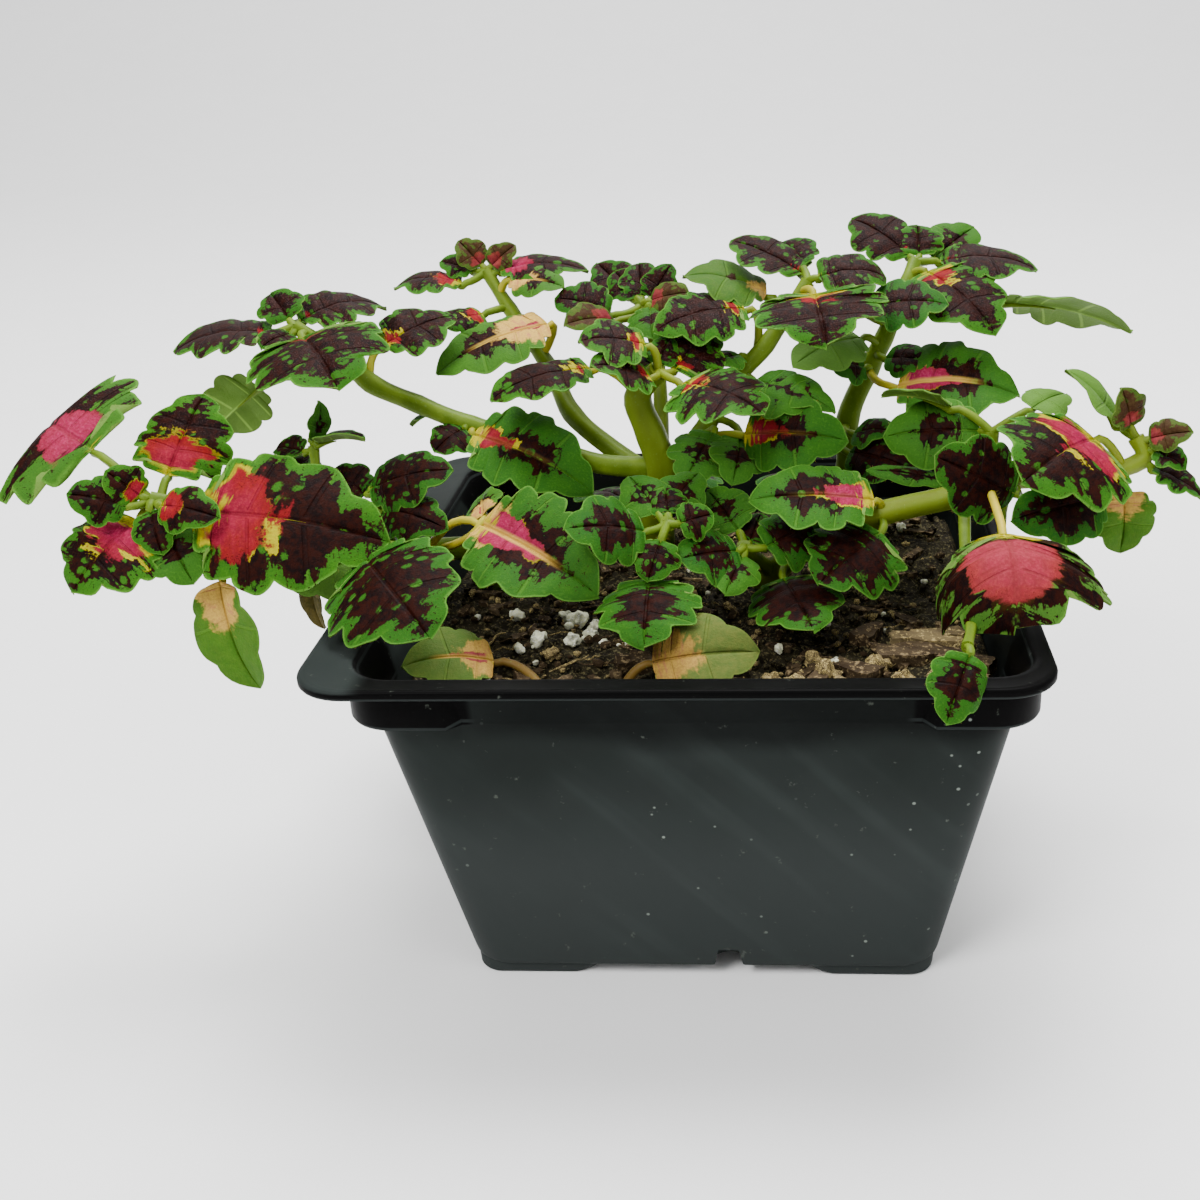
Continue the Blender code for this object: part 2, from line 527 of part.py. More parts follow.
def foot(sign_x, sign_y):
    """One corner pad under the tub, sunk into the underside, tapering downward."""
    outer = BODY_FOOT_HALF - FOOT_INSET
    middle = outer - FOOT_SPAN / 2
    bm = bmesh.new()
    bmesh.ops.create_cube(bm, size=1)
    bmesh.ops.scale(bm, vec=(FOOT_SPAN, FOOT_SPAN, UNDERSIDE + FOOT_SINK), verts=bm.verts)
    upright = [edge for edge in bm.edges if abs(edge.verts[0].co.z - edge.verts[1].co.z) > 1]
    bmesh.ops.bevel(bm, geom=upright, offset=FOOT_CORNER, segments=4, profile=0.5,
                    affect="EDGES", material=-1)
    low = [vertex for vertex in bm.verts if vertex.co.z < 0]
    bmesh.ops.scale(bm, vec=(FOOT_TAPER, FOOT_TAPER, 1), verts=low)
    place = (sign_x * middle, sign_y * middle, (UNDERSIDE + FOOT_SINK) / 2)
    bmesh.ops.translate(bm, vec=place, verts=bm.verts)
    return object_from(bm, "foot")


def drain(turn):
    """A cutter for one drain hole, where the wall meets the underside."""
    bm = bmesh.new()
    bmesh.ops.create_cone(bm, cap_ends=True, segments=10, radius1=DRAIN_WIDTH / 2,
                          radius2=DRAIN_WIDTH / 2, depth=DRAIN_DEPTH)
    angle = turn * math.pi / 2
    reach = BODY_FOOT_HALF - DRAIN_INSET
    along = Vector((math.cos(angle), math.sin(angle), 0))
    aside = Vector((-math.sin(angle), math.cos(angle), 0))
    place = along * reach + aside * DRAIN_ASIDE + Vector((0, 0, UNDERSIDE))
    bmesh.ops.translate(bm, vec=place, verts=bm.verts)
    return object_from(bm, "drain")


def make_pot():
    pot = object_from(closed_loft(tub_rings()), "pot")
    feet = [foot(x, y) for x in (-1, 1) for y in (-1, 1)]
    boolean(pot, feet, "UNION", "EXACT")
    boolean(pot, [drain(turn) for turn in range(-1, 3)], "DIFFERENCE", "EXACT")
    return pot


# Potting mix
def soil_height(x, y):
    """Height of the mix, a little uneven and lower towards the wall."""
    swell = 0.7 * math.sin(0.11 * x + 0.5) * math.cos(0.13 * y) + 0.5 * math.sin(0.31 * x - 0.23 * y)
    return SOIL_TOP + swell


def round_in(x, y, half, corner):
    """Pull a point of a square into the same square with round corners."""
    edge = half - corner
    over_x = abs(x) - edge
    over_y = abs(y) - edge
    if over_x <= 0 or over_y <= 0:
        return x, y
    reach = math.hypot(over_x, over_y)
    shrink = min(1.0, max(over_x, over_y) / reach)
    return (math.copysign(edge + over_x * shrink, x), math.copysign(edge + over_y * shrink, y))


def make_mix_block():
    half = outer_half(SOIL_TOP) - WALL - SOIL_CLEAR
    foot_half = outer_half(BODY_FOOT + FLOOR_ROUND) - WALL - SOIL_CLEAR
    base = FLOOR_TOP + GAP
    bm = bmesh.new()
    bmesh.ops.create_grid(bm, x_segments=SOIL_CELLS, y_segments=SOIL_CELLS, size=half)
    for vertex in bm.verts:
        x, y = round_in(vertex.co.x, vertex.co.y, half, SOIL_CORNER)
        vertex.co = (x, y, soil_height(x, y) - SOIL_DIP * max(abs(x), abs(y)) / half)
    bmesh.ops.triangulate(bm, faces=bm.faces)
    edges = [edge for edge in bm.edges if edge.is_boundary]
    levels = ((foot_half / half, BODY_FOOT + SOIL_BEVEL), ((foot_half - SOIL_BEVEL) / foot_half, base))
    for share, height in levels:
        made = bmesh.ops.extrude_edge_only(bm, edges=edges)["geom"]
        edges = [item for item in made if isinstance(item, bmesh.types.BMEdge)]
        for vertex in [item for item in made if isinstance(item, bmesh.types.BMVert)]:
            vertex.co = (vertex.co.x * share, vertex.co.y * share, height)
    bmesh.ops.contextual_create(bm, geom=edges)
    return object_from(bm, "potting_mix")


def granule(rng, x, y, size):
    """A small stone-like lump half sunk in the mix."""
    bm = bmesh.new()
    bmesh.ops.create_icosphere(bm, subdivisions=1, radius=size)
    bmesh.ops.scale(bm, vec=(1.0, rng.uniform(0.6, 0.9), PERLITE_FLAT), verts=bm.verts)
    turn = rng.uniform(0, math.pi)
    for vertex in bm.verts:
        dx, dy, dz = vertex.co
        vertex.co = (x + dx * math.cos(turn) - dy * math.sin(turn),
                     y + dx * math.sin(turn) + dy * math.cos(turn),
                     soil_height(x, y) + PERLITE_PROUD * size + dz)
    return object_from(bm, "granule")


def chip(rng, x, y, length, width):
    """A bark chip: a thin tapered block lying tilted in the mix."""
    bm = bmesh.new()
    bmesh.ops.create_cube(bm, size=1)
    turn = rng.uniform(0, math.pi)
    tilt = rng.uniform(-BARK_TILT, BARK_TILT)
    thick = rng.uniform(*BARK_THICK)
    for vertex in bm.verts:
        dx = vertex.co.x * length
        dy = vertex.co.y * width * (1 - BARK_TAPER * (vertex.co.x + 0.5))
        dz = vertex.co.z * thick + dx * tilt
        vertex.co = (x + dx * math.cos(turn) - dy * math.sin(turn),
                     y + dx * math.sin(turn) + dy * math.cos(turn),
                     soil_height(x, y) - BARK_SUNK + dz)
    return object_from(bm, "chip")


def clear_of(x, y, spots, distance):
    return all(math.hypot(x - a, y - b) > distance for a, b in spots)


def make_mix(stem_routes):
    mix = make_mix_block()
    rng = random.Random(MIX_SEED)
    # Lumps keep clear of the stems and of where the fallen leaves lie
    stems = [(point[0], point[1]) for route in stem_routes for point in route[:4]]
    resting = []
    for base, tip, _, _, stalk, _ in FALLEN.values():
        resting += [base[:2], tip[:2], stalk[:2], ((base[0] + tip[0]) / 2, (base[1] + tip[1]) / 2)]
    lumps = []
    placed = []
    reach = outer_half(SOIL_TOP) - WALL_ROOM
    while len(lumps) < PERLITE_COUNT + BARK_COUNT:
        x = rng.uniform(-reach, reach)
        y = rng.uniform(-reach, reach)
        bark = len(lumps) >= PERLITE_COUNT
        size = rng.uniform(*(BARK_SIZE if bark else PERLITE_SIZE))
        if not clear_of(x, y, stems, size + STEM_ROOM):
            continue
        if not clear_of(x, y, resting, size + LEAF_ROOM) or not clear_of(x, y, placed, LUMP_ROOM):
            continue
        placed.append((x, y))
        if bark:
            lumps.append(chip(rng, x, y, BARK_LENGTH * size, size))
        else:
            lumps.append(granule(rng, x, y, size))
    boolean(mix, lumps, "UNION")
    holes = []
    for route in stem_routes:
        buried = [point for point in route if point[2] < SOIL_TOP + HOLE_REACH]
        down = (Vector(route[0][:3]) - Vector(route[1][:3])).normalized() * GAP
        low = tuple(Vector(route[0][:3]) + down) + (route[0][3],)
        holes.append(tube("hole", [low] + buried[1:], HOLE_CLEAR))
    boolean(mix, holes, "DIFFERENCE")
    return mix


# Stems
def smooth_route(points, steps):
    """A smooth curve through the route's own points, with the radius carried along."""
    smooth = []
    count = len(points)
    for index in range(count - 1):
        before = points[max(index - 1, 0)]
        start = points[index]
        end = points[index + 1]
        after = points[min(index + 2, count - 1)]
        for step in range(steps):
            t = step / steps
            row = []
            for a, b, c, d in zip(before, start, end, after):
                row.append(0.5 * (2 * b + (c - a) * t + (2 * a - 5 * b + 4 * c - d) * t * t
                                  + (3 * b - a - 3 * c + d) * t ** 3))
            smooth.append(tuple(row))
    smooth.append(points[-1])
    return smooth


def tube(name, points, clear=0.0):
    """A square stem, as in plants of the mint family, with closed ends."""
    curve = bpy.data.curves.new(name, "CURVE")
    curve.dimensions = "3D"
    curve.bevel_depth = MM
    curve.bevel_resolution = 0
    curve.use_fill_caps = True
    spline = curve.splines.new("POLY")
    spline.points.add(len(points) - 1)
    for spot, point in zip(spline.points, points):
        spot.co = (point[0] * MM, point[1] * MM, point[2] * MM, 1)
        spot.radius = point[3] * STEM_SQUARE + clear
    holder = bpy.data.objects.new(name, curve)
    bpy.context.scene.collection.objects.link(holder)
    graph = bpy.context.evaluated_depsgraph_get()
    mesh = bpy.data.meshes.new_from_object(holder.evaluated_get(graph))
    bpy.data.objects.remove(holder, do_unlink=True)
    bm = bmesh.new()
    bm.from_mesh(mesh)
    bmesh.ops.remove_doubles(bm, verts=bm.verts, dist=0.001 * MM)
    bmesh.ops.recalc_face_normals(bm, faces=bm.faces)
    bm.to_mesh(mesh)
    bm.free()
    obj = bpy.data.objects.new(name, mesh)
    bpy.context.scene.collection.objects.link(obj)
    return obj


def nearest_on(route, point):
    """The closest point of a stem's centre line, and the stem's radius there."""
    best = None
    for start, end in zip(route, route[1:]):
        a = Vector(start[:3])
        line = Vector(end[:3]) - a
        share = min(1.0, max(0.0, (Vector(point) - a).dot(line) / line.length_squared))
        spot = a + line * share
        gap = (Vector(point) - spot).length
        if best is None or gap < best[0]:
            best = (gap, spot, start[3] + (end[3] - start[3]) * share)
    return best[1], best[2]


# Leaves: a strip of midrib and two lobed edges, given its thickness at the end
def outline(t):
    """Distance along the blade and half width, both from 0 to 1, of the plain outline."""
    angle = math.pi * t
    wide = max(0.0, math.sin(angle)) ** FULLNESS * (1 + OVATE * math.cos(angle))
    return (1 - math.cos(angle)) / 2, wide


WIDEST = max(outline(step / 100)[1] for step in range(101))


def leaf(name, root, stem_radius, base, tip, width, lobes, face, fold, arch):
    base = Vector(base)
    tip = Vector(tip)
    axis = (tip - base).normalized()
    length = (tip - base).length
    normal = Vector(face)
    normal = (normal - axis * normal.dot(axis)).normalized()
    side = axis.cross(normal)
    fold = math.radians(fold)
    half_stalk = min(STALK_HALF, STALK_SHARE * stem_radius)
    reach = (base - root).length
    stalk_rows = 1 if reach < SHORT_STALK else 2 if reach < LONG_STALK else 3
    blade_rows = 2 * lobes + 1
    rows = []
    # Stalk: a curve from the middle of the stem that arrives along the blade's axis
    bend = base - axis * reach * STALK_BEND
    for row in range(stalk_rows):
        t = row / stalk_rows
        spot = root * (1 - t) ** 2 + bend * 2 * t * (1 - t) + base * t * t
        tangent = ((bend - root) * (1 - t) + (base - bend) * t).normalized()
        across = side - tangent * side.dot(tangent)
        across = across.normalized() if across.length > 0.3 else side
        rows.append((spot - across * half_stalk, spot, spot + across * half_stalk))
    for row in range(blade_rows + 1):
        t = row / blade_rows
        along, wide = outline(t)
        angle = math.pi * t
        out = LOBE_DEPTH * width * (1 if row % 2 else -NOTCH)
        if row == 0 or row == blade_rows:
            out = 0
        half = max(half_stalk, wide / WIDEST * width * (0.5 - LOBE_DEPTH) + out * math.sin(angle))
        forward = min(1.0, along - out * math.cos(angle) / length)
        lift = normal * arch * length * 4 * forward * (1 - forward)
        middle = base + axis * length * MIDRIB_END * along ** MIDRIB_PULL
        middle += normal * arch * length * 4 * along * (1 - along)
        if row == blade_rows:
            rows.append((tip, tip, tip))
            continue
        edges = []
        for sign in (-1, 1):
            wave = WAVE * width * math.sin(WAVE_BEATS * math.pi * t + sign)
            spread = side * sign * math.cos(fold) + normal * math.sin(fold)
            edge = base + axis * length * forward + lift + spread * half
            if row:
                edge += normal * wave
            edges.append(edge)
        rows.append((edges[0], middle, edges[1]))
    bm = bmesh.new()
    columns = 2 if width >= MIDRIB_WIDTH else 1
    bmesh.ops.create_grid(bm, x_segments=columns, y_segments=len(rows) - 1, size=1)
    for vertex in bm.verts:
        column = round(vertex.co.x + 1)
        row = round((vertex.co.y + 1) / 2 * (len(rows) - 1))
        vertex.co = rows[row][column]
    bmesh.ops.remove_doubles(bm, verts=bm.verts, dist=0.01)
    bmesh.ops.triangulate(bm, faces=bm.faces)
    thicken(bm, BLADE)
    return object_from(bm, name)


def thicken(bm, thickness):
    """Give an open sheet the same thickness all over, half to each side."""
    bmesh.ops.recalc_face_normals(bm, faces=bm.faces)
    bm.normal_update()
    offsets = {tuple(vertex.co): vertex.normal * thickness / 2 for vertex in bm.verts}
    sheet = list(bm.verts)
    made = bmesh.ops.extrude_face_region(bm, geom=bm.faces[:], use_keep_orig=True)["geom"]
    for vertex in [item for item in made if isinstance(item, bmesh.types.BMVert)]:
        vertex.co -= offsets[tuple(vertex.co)]
    for vertex in sheet:
        vertex.co += offsets[tuple(vertex.co)]


def make_plant(name):
    """One rooted plant: its stems and leaves as a single grown body."""
    routes = {key: smooth_route(points, STEM_STEPS) for key, points in PLANTS[name].items()}
    stems = [tube(key, route) for key, route in routes.items()]
    plant = stems[0]
    plant.name = name
    parts = stems[1:]
    for stem, base, tip, width, lobes, face, fold, arch in LEAVES[name]:
        root, radius = nearest_on(routes[stem], STALK_ROOTS.get(base, base))
        parts.append(leaf("leaf", root, radius, base, tip, width, lobes, face, fold, arch))
    boolean(plant, parts, "UNION")
    return plant


def make_fallen(name):
    base, tip, width, lobes, stalk, fold = FALLEN[name]
    return leaf(name, Vector(stalk), FALLEN_STALK, base, tip, width, lobes, FALLEN_FACE, fold, 0.1)


def centre_footprint(objects):
    """Move everything so that the middle of the whole footprint is the origin."""
    across = [vertex.co.x for obj in objects for vertex in obj.data.vertices]
    deep = [vertex.co.y for obj in objects for vertex in obj.data.vertices]
    middle_x = (min(across) + max(across)) / 2
    middle_y = (min(deep) + max(deep)) / 2
    for obj in objects:
        for vertex in obj.data.vertices:
            vertex.co.x -= middle_x
            vertex.co.y -= middle_y


def main():
    clear_scene()
    objects = [make_pot()]
    routes = [smooth_route(list(stems.values())[0], STEM_STEPS) for stems in PLANTS.values()]
    objects.append(make_mix(routes))
    objects += [make_plant(name) for name in PLANTS]
    objects += [make_fallen(name) for name in FALLEN]
    for obj in objects:
        obj.data.name = obj.name
        obj.data.materials.clear()
        obj.data.materials.append(material(obj.name))
        obj.data.shade_smooth()
        obj.data.set_sharp_from_angle(angle=math.radians(35))
    centre_footprint(objects)


main()
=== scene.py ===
"""Looks of the potted coleus: fine leaves, stems, mix and pot in place of the plain solids.

Routes and blades are in millimetres about the middle of the pot's underside, X to the
right, Y away from the viewer, Z up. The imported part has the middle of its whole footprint
at the origin, so every finished piece is moved over by the pot's own place in it.
"""

import math
import random

import bpy
import bmesh
from mathutils import Matrix, Vector, noise


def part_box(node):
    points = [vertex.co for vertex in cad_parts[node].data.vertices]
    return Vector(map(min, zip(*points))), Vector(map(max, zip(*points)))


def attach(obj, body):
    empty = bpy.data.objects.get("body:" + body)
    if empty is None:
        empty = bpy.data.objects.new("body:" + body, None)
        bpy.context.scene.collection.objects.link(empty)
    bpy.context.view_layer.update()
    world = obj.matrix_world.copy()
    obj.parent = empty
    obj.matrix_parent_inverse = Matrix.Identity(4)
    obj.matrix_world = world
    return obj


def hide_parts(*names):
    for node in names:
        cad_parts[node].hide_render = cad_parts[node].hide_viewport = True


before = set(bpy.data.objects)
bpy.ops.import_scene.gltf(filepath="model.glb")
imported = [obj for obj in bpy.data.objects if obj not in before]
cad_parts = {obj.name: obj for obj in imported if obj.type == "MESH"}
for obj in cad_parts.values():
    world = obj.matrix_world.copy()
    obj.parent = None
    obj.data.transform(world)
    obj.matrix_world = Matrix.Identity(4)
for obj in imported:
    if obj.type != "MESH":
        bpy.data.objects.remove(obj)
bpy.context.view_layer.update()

MM = 0.001
SHARP_ANGLE = 50
RIM_SWAY = -2.65
pot_low, pot_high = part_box("pot")
SHIFT_X = (pot_low[0] + pot_high[0]) / 2 - RIM_SWAY * MM
SHIFT_Y = (pot_low[1] + pot_high[1]) / 2

# Leaves: blade, stalk and the crenate margin
BLADE = 0.36
LOBE_DEPTH = 0.090
BASE_PACE = 0.22
BASE_ROUND = 0.50
TIP_ROUND = 0.78
WIDEST = 0.395
WAVE = 0.030
QUILT = 0.028
ROWS_PER_LOBE = 7
BLADE_COLUMNS = 20
SMALL_WIDTH = 11
SMALL_ROWS_PER_LOBE = 5
SMALL_COLUMNS = 12
STALK_RADIUS = 0.72
STALK_SIDES = 8
STEM_SIDES = 14
STEM_SQUARE = 0.12
STEM_STEPS = 6
NODE_SWELL = 0.22
NODE_REACH = 2.2

# Pot
RIM_TOP = 66.6
RIM_HALF = 60.0
RIM_CORNER = 9.0
FLANGE = 1.0
LIP_DROP = 1.6
LIP_WIDTH = 0.9
MOUTH_HALF = 54.4
WALL = 1.2
LUG_BOTTOM = 57.3
LUG_PROUD = 3.0
LUG_LENGTH = 14.0
LUG_SLANT = 2.0
BODY_TOP_HALF = 52.7
BODY_FOOT_HALF = 42.6
BODY_FOOT = 3.6
BODY_CORNER = 8.0
UNDERSIDE = 2.2
FLOOR_TOP = 3.6
FOOT_SPAN = 27.0
FOOT_INSET = 0.9
FOOT_SLOPE = 5.0
FOOT_CORNER = 5.5
FOOT_TAPER = 0.97
FOOT_ROUND = 0.7
FOOT_SINK = 0.8
DRAIN_WIDTH = 6.3
DRAIN_ASIDE = 4.7
DRAIN_INSET = 2.0
DRAIN_DEPTH = 9
ARC_STEPS = 10

# Potting mix, its crumbs, fibres, chips and grains: how many there are, how far from the
# middle they lie, and their sizes
SOIL_TOP = 56.0
SOIL_CELLS = 130
SOIL_CORNER = 10.0
CRUMB_REACH = 47
PEAT_CRUMBS = 420
PEAT_CRUMB_SIZES = (0.5, 1.5)
BROWN_CRUMBS = 420
BROWN_CRUMB_SIZES = (0.25, 1.5)
TAN_CRUMBS = 260
TAN_CRUMB_SIZES = (0.25, 1.1)
CRUMBS_PER_STRAND = 4
STRAND_REACH = 40
STRAND_LENGTHS = (3, 9)
STRAND_WIDTHS = (0.12, 0.3)
CHIP_REACH = 45
LOOSE_CHIPS = 70
LOOSE_TAN_CHIPS = 16
LOOSE_GRAINS = 26
GRAIN_REACH = 46

# Pieces of the mix that stand out, as x, y and size or x, y, length, width and turn
PERLITE = [(-39, 6, 1.4), (-38, 3, 1.2), (-35, -8, 1.5), (-29, -21, 1.8), (-32, -24, 1.2),
           (-23, -12, 1.9), (-20, -18, 1.6), (-23, -20, 1.5), (-26, -9, 1.4), (-20, -14, 1.2),
           (49, -14, 1.7), (-47, -29, 1.3), (-45, -34, 1.0), (-17, -22, 1.0), (14, -22, 1.1),
           (-5, -18, 1.2), (24, -30, 1.0), (-30, 40, 1.4), (5, 44, 1.5), (40, 38, 1.2)]
BARK = [(37, -27, 13, 6, 0.2), (46, -31, 9, 5, -0.5), (27, -33, 9, 5, 2.4), (-11, -30, 6, 4, 0.3),
        (20, -40, 8, 4, 1.2), (33, -41, 8, 4, 0.1), (-22, -42, 7, 4, 0.6), (44, -41, 9, 4, 2.7),
        (-30, -34, 6, 3, 2.0), (12, -44, 6, 3, 0.2), (-10, -45, 7, 3, 2.8), (30, -20, 7, 4, 1.0)]
TAN_BARK = [(42, -21, 9, 4, 0.2), (45, -38, 8, 4, 0.1), (40, -23, 12, 3, -0.1),
            (25, -39, 5, 3, 2.2)]
# Pale crumbly clumps of bark, as x, y and size
CLUMPS = [(22, -36, 2.6), (27, -41, 2.4), (17, -41, 2.2), (35, -37, 2.0), (13, -37, 1.9),
          (-2, -42, 2.2), (-5, -37, 1.9), (3, -44, 2.0), (41, -36, 2.1), (31, -31, 2.2),
          (20, -29, 1.8), (46, -26, 1.9), (-16, -40, 1.6), (-26, -26, 1.7), (8, -31, 1.5)]

# Fine hairs on the stems, the stalks and the blades' margins
HAIR_RADIUS = 0.022
HAIRS_PER_MM = 1.5
MARGIN_HAIRS_PER_MM = 0.8
# Heights in metres between which the upper leaves get a painted grey sheen
SHEEN_FROM = 0.085
SHEEN_FULL = 0.110

# Floor that sweeps up behind the pot, and the light of the whole room
FLOOR_HALF = 5.0
SWEEP_START = 0.9
SWEEP_RADIUS = 1.2
ROOM_LIGHT = 0.55
# Lamps: place, what they point at, width and power, in metres and watts
POT_MIDDLE = (0, 0, 0.06)
LAMPS = {
    "key": ((-0.35, -0.55, 0.75), POT_MIDDLE, 0.4, 10),
    "fill": ((0.7, -0.45, 0.45), POT_MIDDLE, 0.6, 3.5),
    "top": ((0.1, 0.35, 0.9), POT_MIDDLE, 0.6, 12),
    "backdrop": ((0.0, 0.7, 1.9), (0.0, 1.7, 0.2), 1.6, 45),
}
# Camera: place from the pot's own middle in metres, turns in degrees, lens in millimetres
CAMERA_PLACE = (0.0157, -0.2621, 0.1686)
CAMERA_PITCH = 23.05
CAMERA_YAW = -4.2
CAMERA_ROLL = -2.1
CAMERA_LENS = 44.7
CAMERA_SHIFT = (-0.0725, -0.0033)

# Stems: route points (x, y, z) and radius; the first stem of each plant stands in the mix
PLANTS = {
    "left_plant": {
        "a": [(-41, 9, 44, 2.0), (-42, 8, 60, 2.1), (-46, 0, 67, 2.2), (-58, -14, 72, 2.0),
              (-72, -20, 79, 1.9), (-83, -25, 84, 1.7), (-93, -27, 87, 1.3)],
        "p": [(-56, -12, 71, 1.2), (-59, -6, 75, 1.1), (-61, -2, 79, 1.0)],
        "q": [(-68, -18, 77, 1.0), (-70, -8, 82, 0.9), (-71, -4, 89, 0.9)],
    },
    "central_plant": {
        "m": [(-11, 17, 44, 3.0), (-12, 16, 58, 3.0), (-9, 10, 73, 3.0), (-8, 8, 80, 3.2),
              (-10, 8, 87, 2.8), (-12, 8, 94, 2.6), (-8, 7, 99, 1.8)],
        "b": [(-8, 8, 80, 2.2), (-20, 8, 81, 2.0), (-31, 8, 85, 1.9), (-44, 8, 89, 1.8),
              (-54, 9, 93, 1.7), (-63, 10, 97, 1.8), (-68, 7, 104, 1.4), (-75, 6, 109, 1.2)],
        "c": [(-9, 10, 77, 2.0), (-18, 14, 82, 1.9), (-26, 18, 88, 1.8), (-31, 26, 95, 1.6),
              (-40, 36, 105, 1.3), (-45, 40, 112, 1.1)],
        "f": [(-9, 12, 76, 1.8), (-9, 22, 85, 1.6), (-10, 30, 97, 1.3), (-13, 34, 106, 1.1)],
        "g": [(-8, 10, 77, 2.1), (0, 14, 86, 2.0), (6, 16, 95, 1.9), (12, 18, 101, 1.7),
              (20, 22, 112, 1.3)],
    },
    "rear_right_plant": {
        "h": [(25, 27, 44, 2.6), (26, 26, 58, 2.6), (28, 26, 73, 2.5), (28, 26, 84, 2.3),
              (32, 26, 94, 2.1), (35, 27, 100, 1.8), (39, 30, 109, 1.5), (41, 34, 113, 1.2)],
    },
    "right_plant": {
        "r": [(10, 8, 44, 2.2), (11, 5, 56, 2.3), (13, -1, 62, 2.4), (18, -6, 68, 2.2),
              (30, -10, 76, 2.2), (46, -10, 80, 2.0), (55, -10, 83, 1.8), (67, -8, 82, 1.6),
              (78, -7, 85, 1.4), (77, -6, 89, 1.2)],
        "y": [(53, -10, 82, 1.4), (52, -6, 87, 1.3), (52, -5, 90, 1.2)],
        "n": [(13, -1, 62, 1.5), (9, -12, 70, 1.3), (8, -16, 73, 1.1)],
        "k": [(47, -10, 80, 1.3), (46, -25, 72, 1.0), (45, -42, 70, 0.9), (43, -54, 71, 0.8)],
    },
    "front_sprig": {
        "l": [(-10, 3, 44, 1.6), (-10, 3, 56, 1.6), (-8, -5, 66, 1.6), (-6, -13, 73, 1.5),
              (-5, -20, 79, 1.2)],
    },
}

# Tint of a stem, and of a stalk by the look of its blade: 0 is brown, 0.5 green, 1 cream
PLAIN_TINT = 0.5
STEM_TINTS = {"m": 0.56, "r": 0.58, "g": 0.45, "c": 0.42, "f": 0.35, "n": 0.52, "l": 0.52}
STALK_TINTS = {"withered": 0.8, "cream_pink": 0.75, "cream_green": 0.65, "pale": 0.75,
               "big_pink": 0.8, "pink": 0.6, "magenta_green": 0.65, "tip": 0.35,
               "scrap": 0.0, "yellow_base": 0.7, "yellow_red": 0.7, "maroon_red": 0.6}

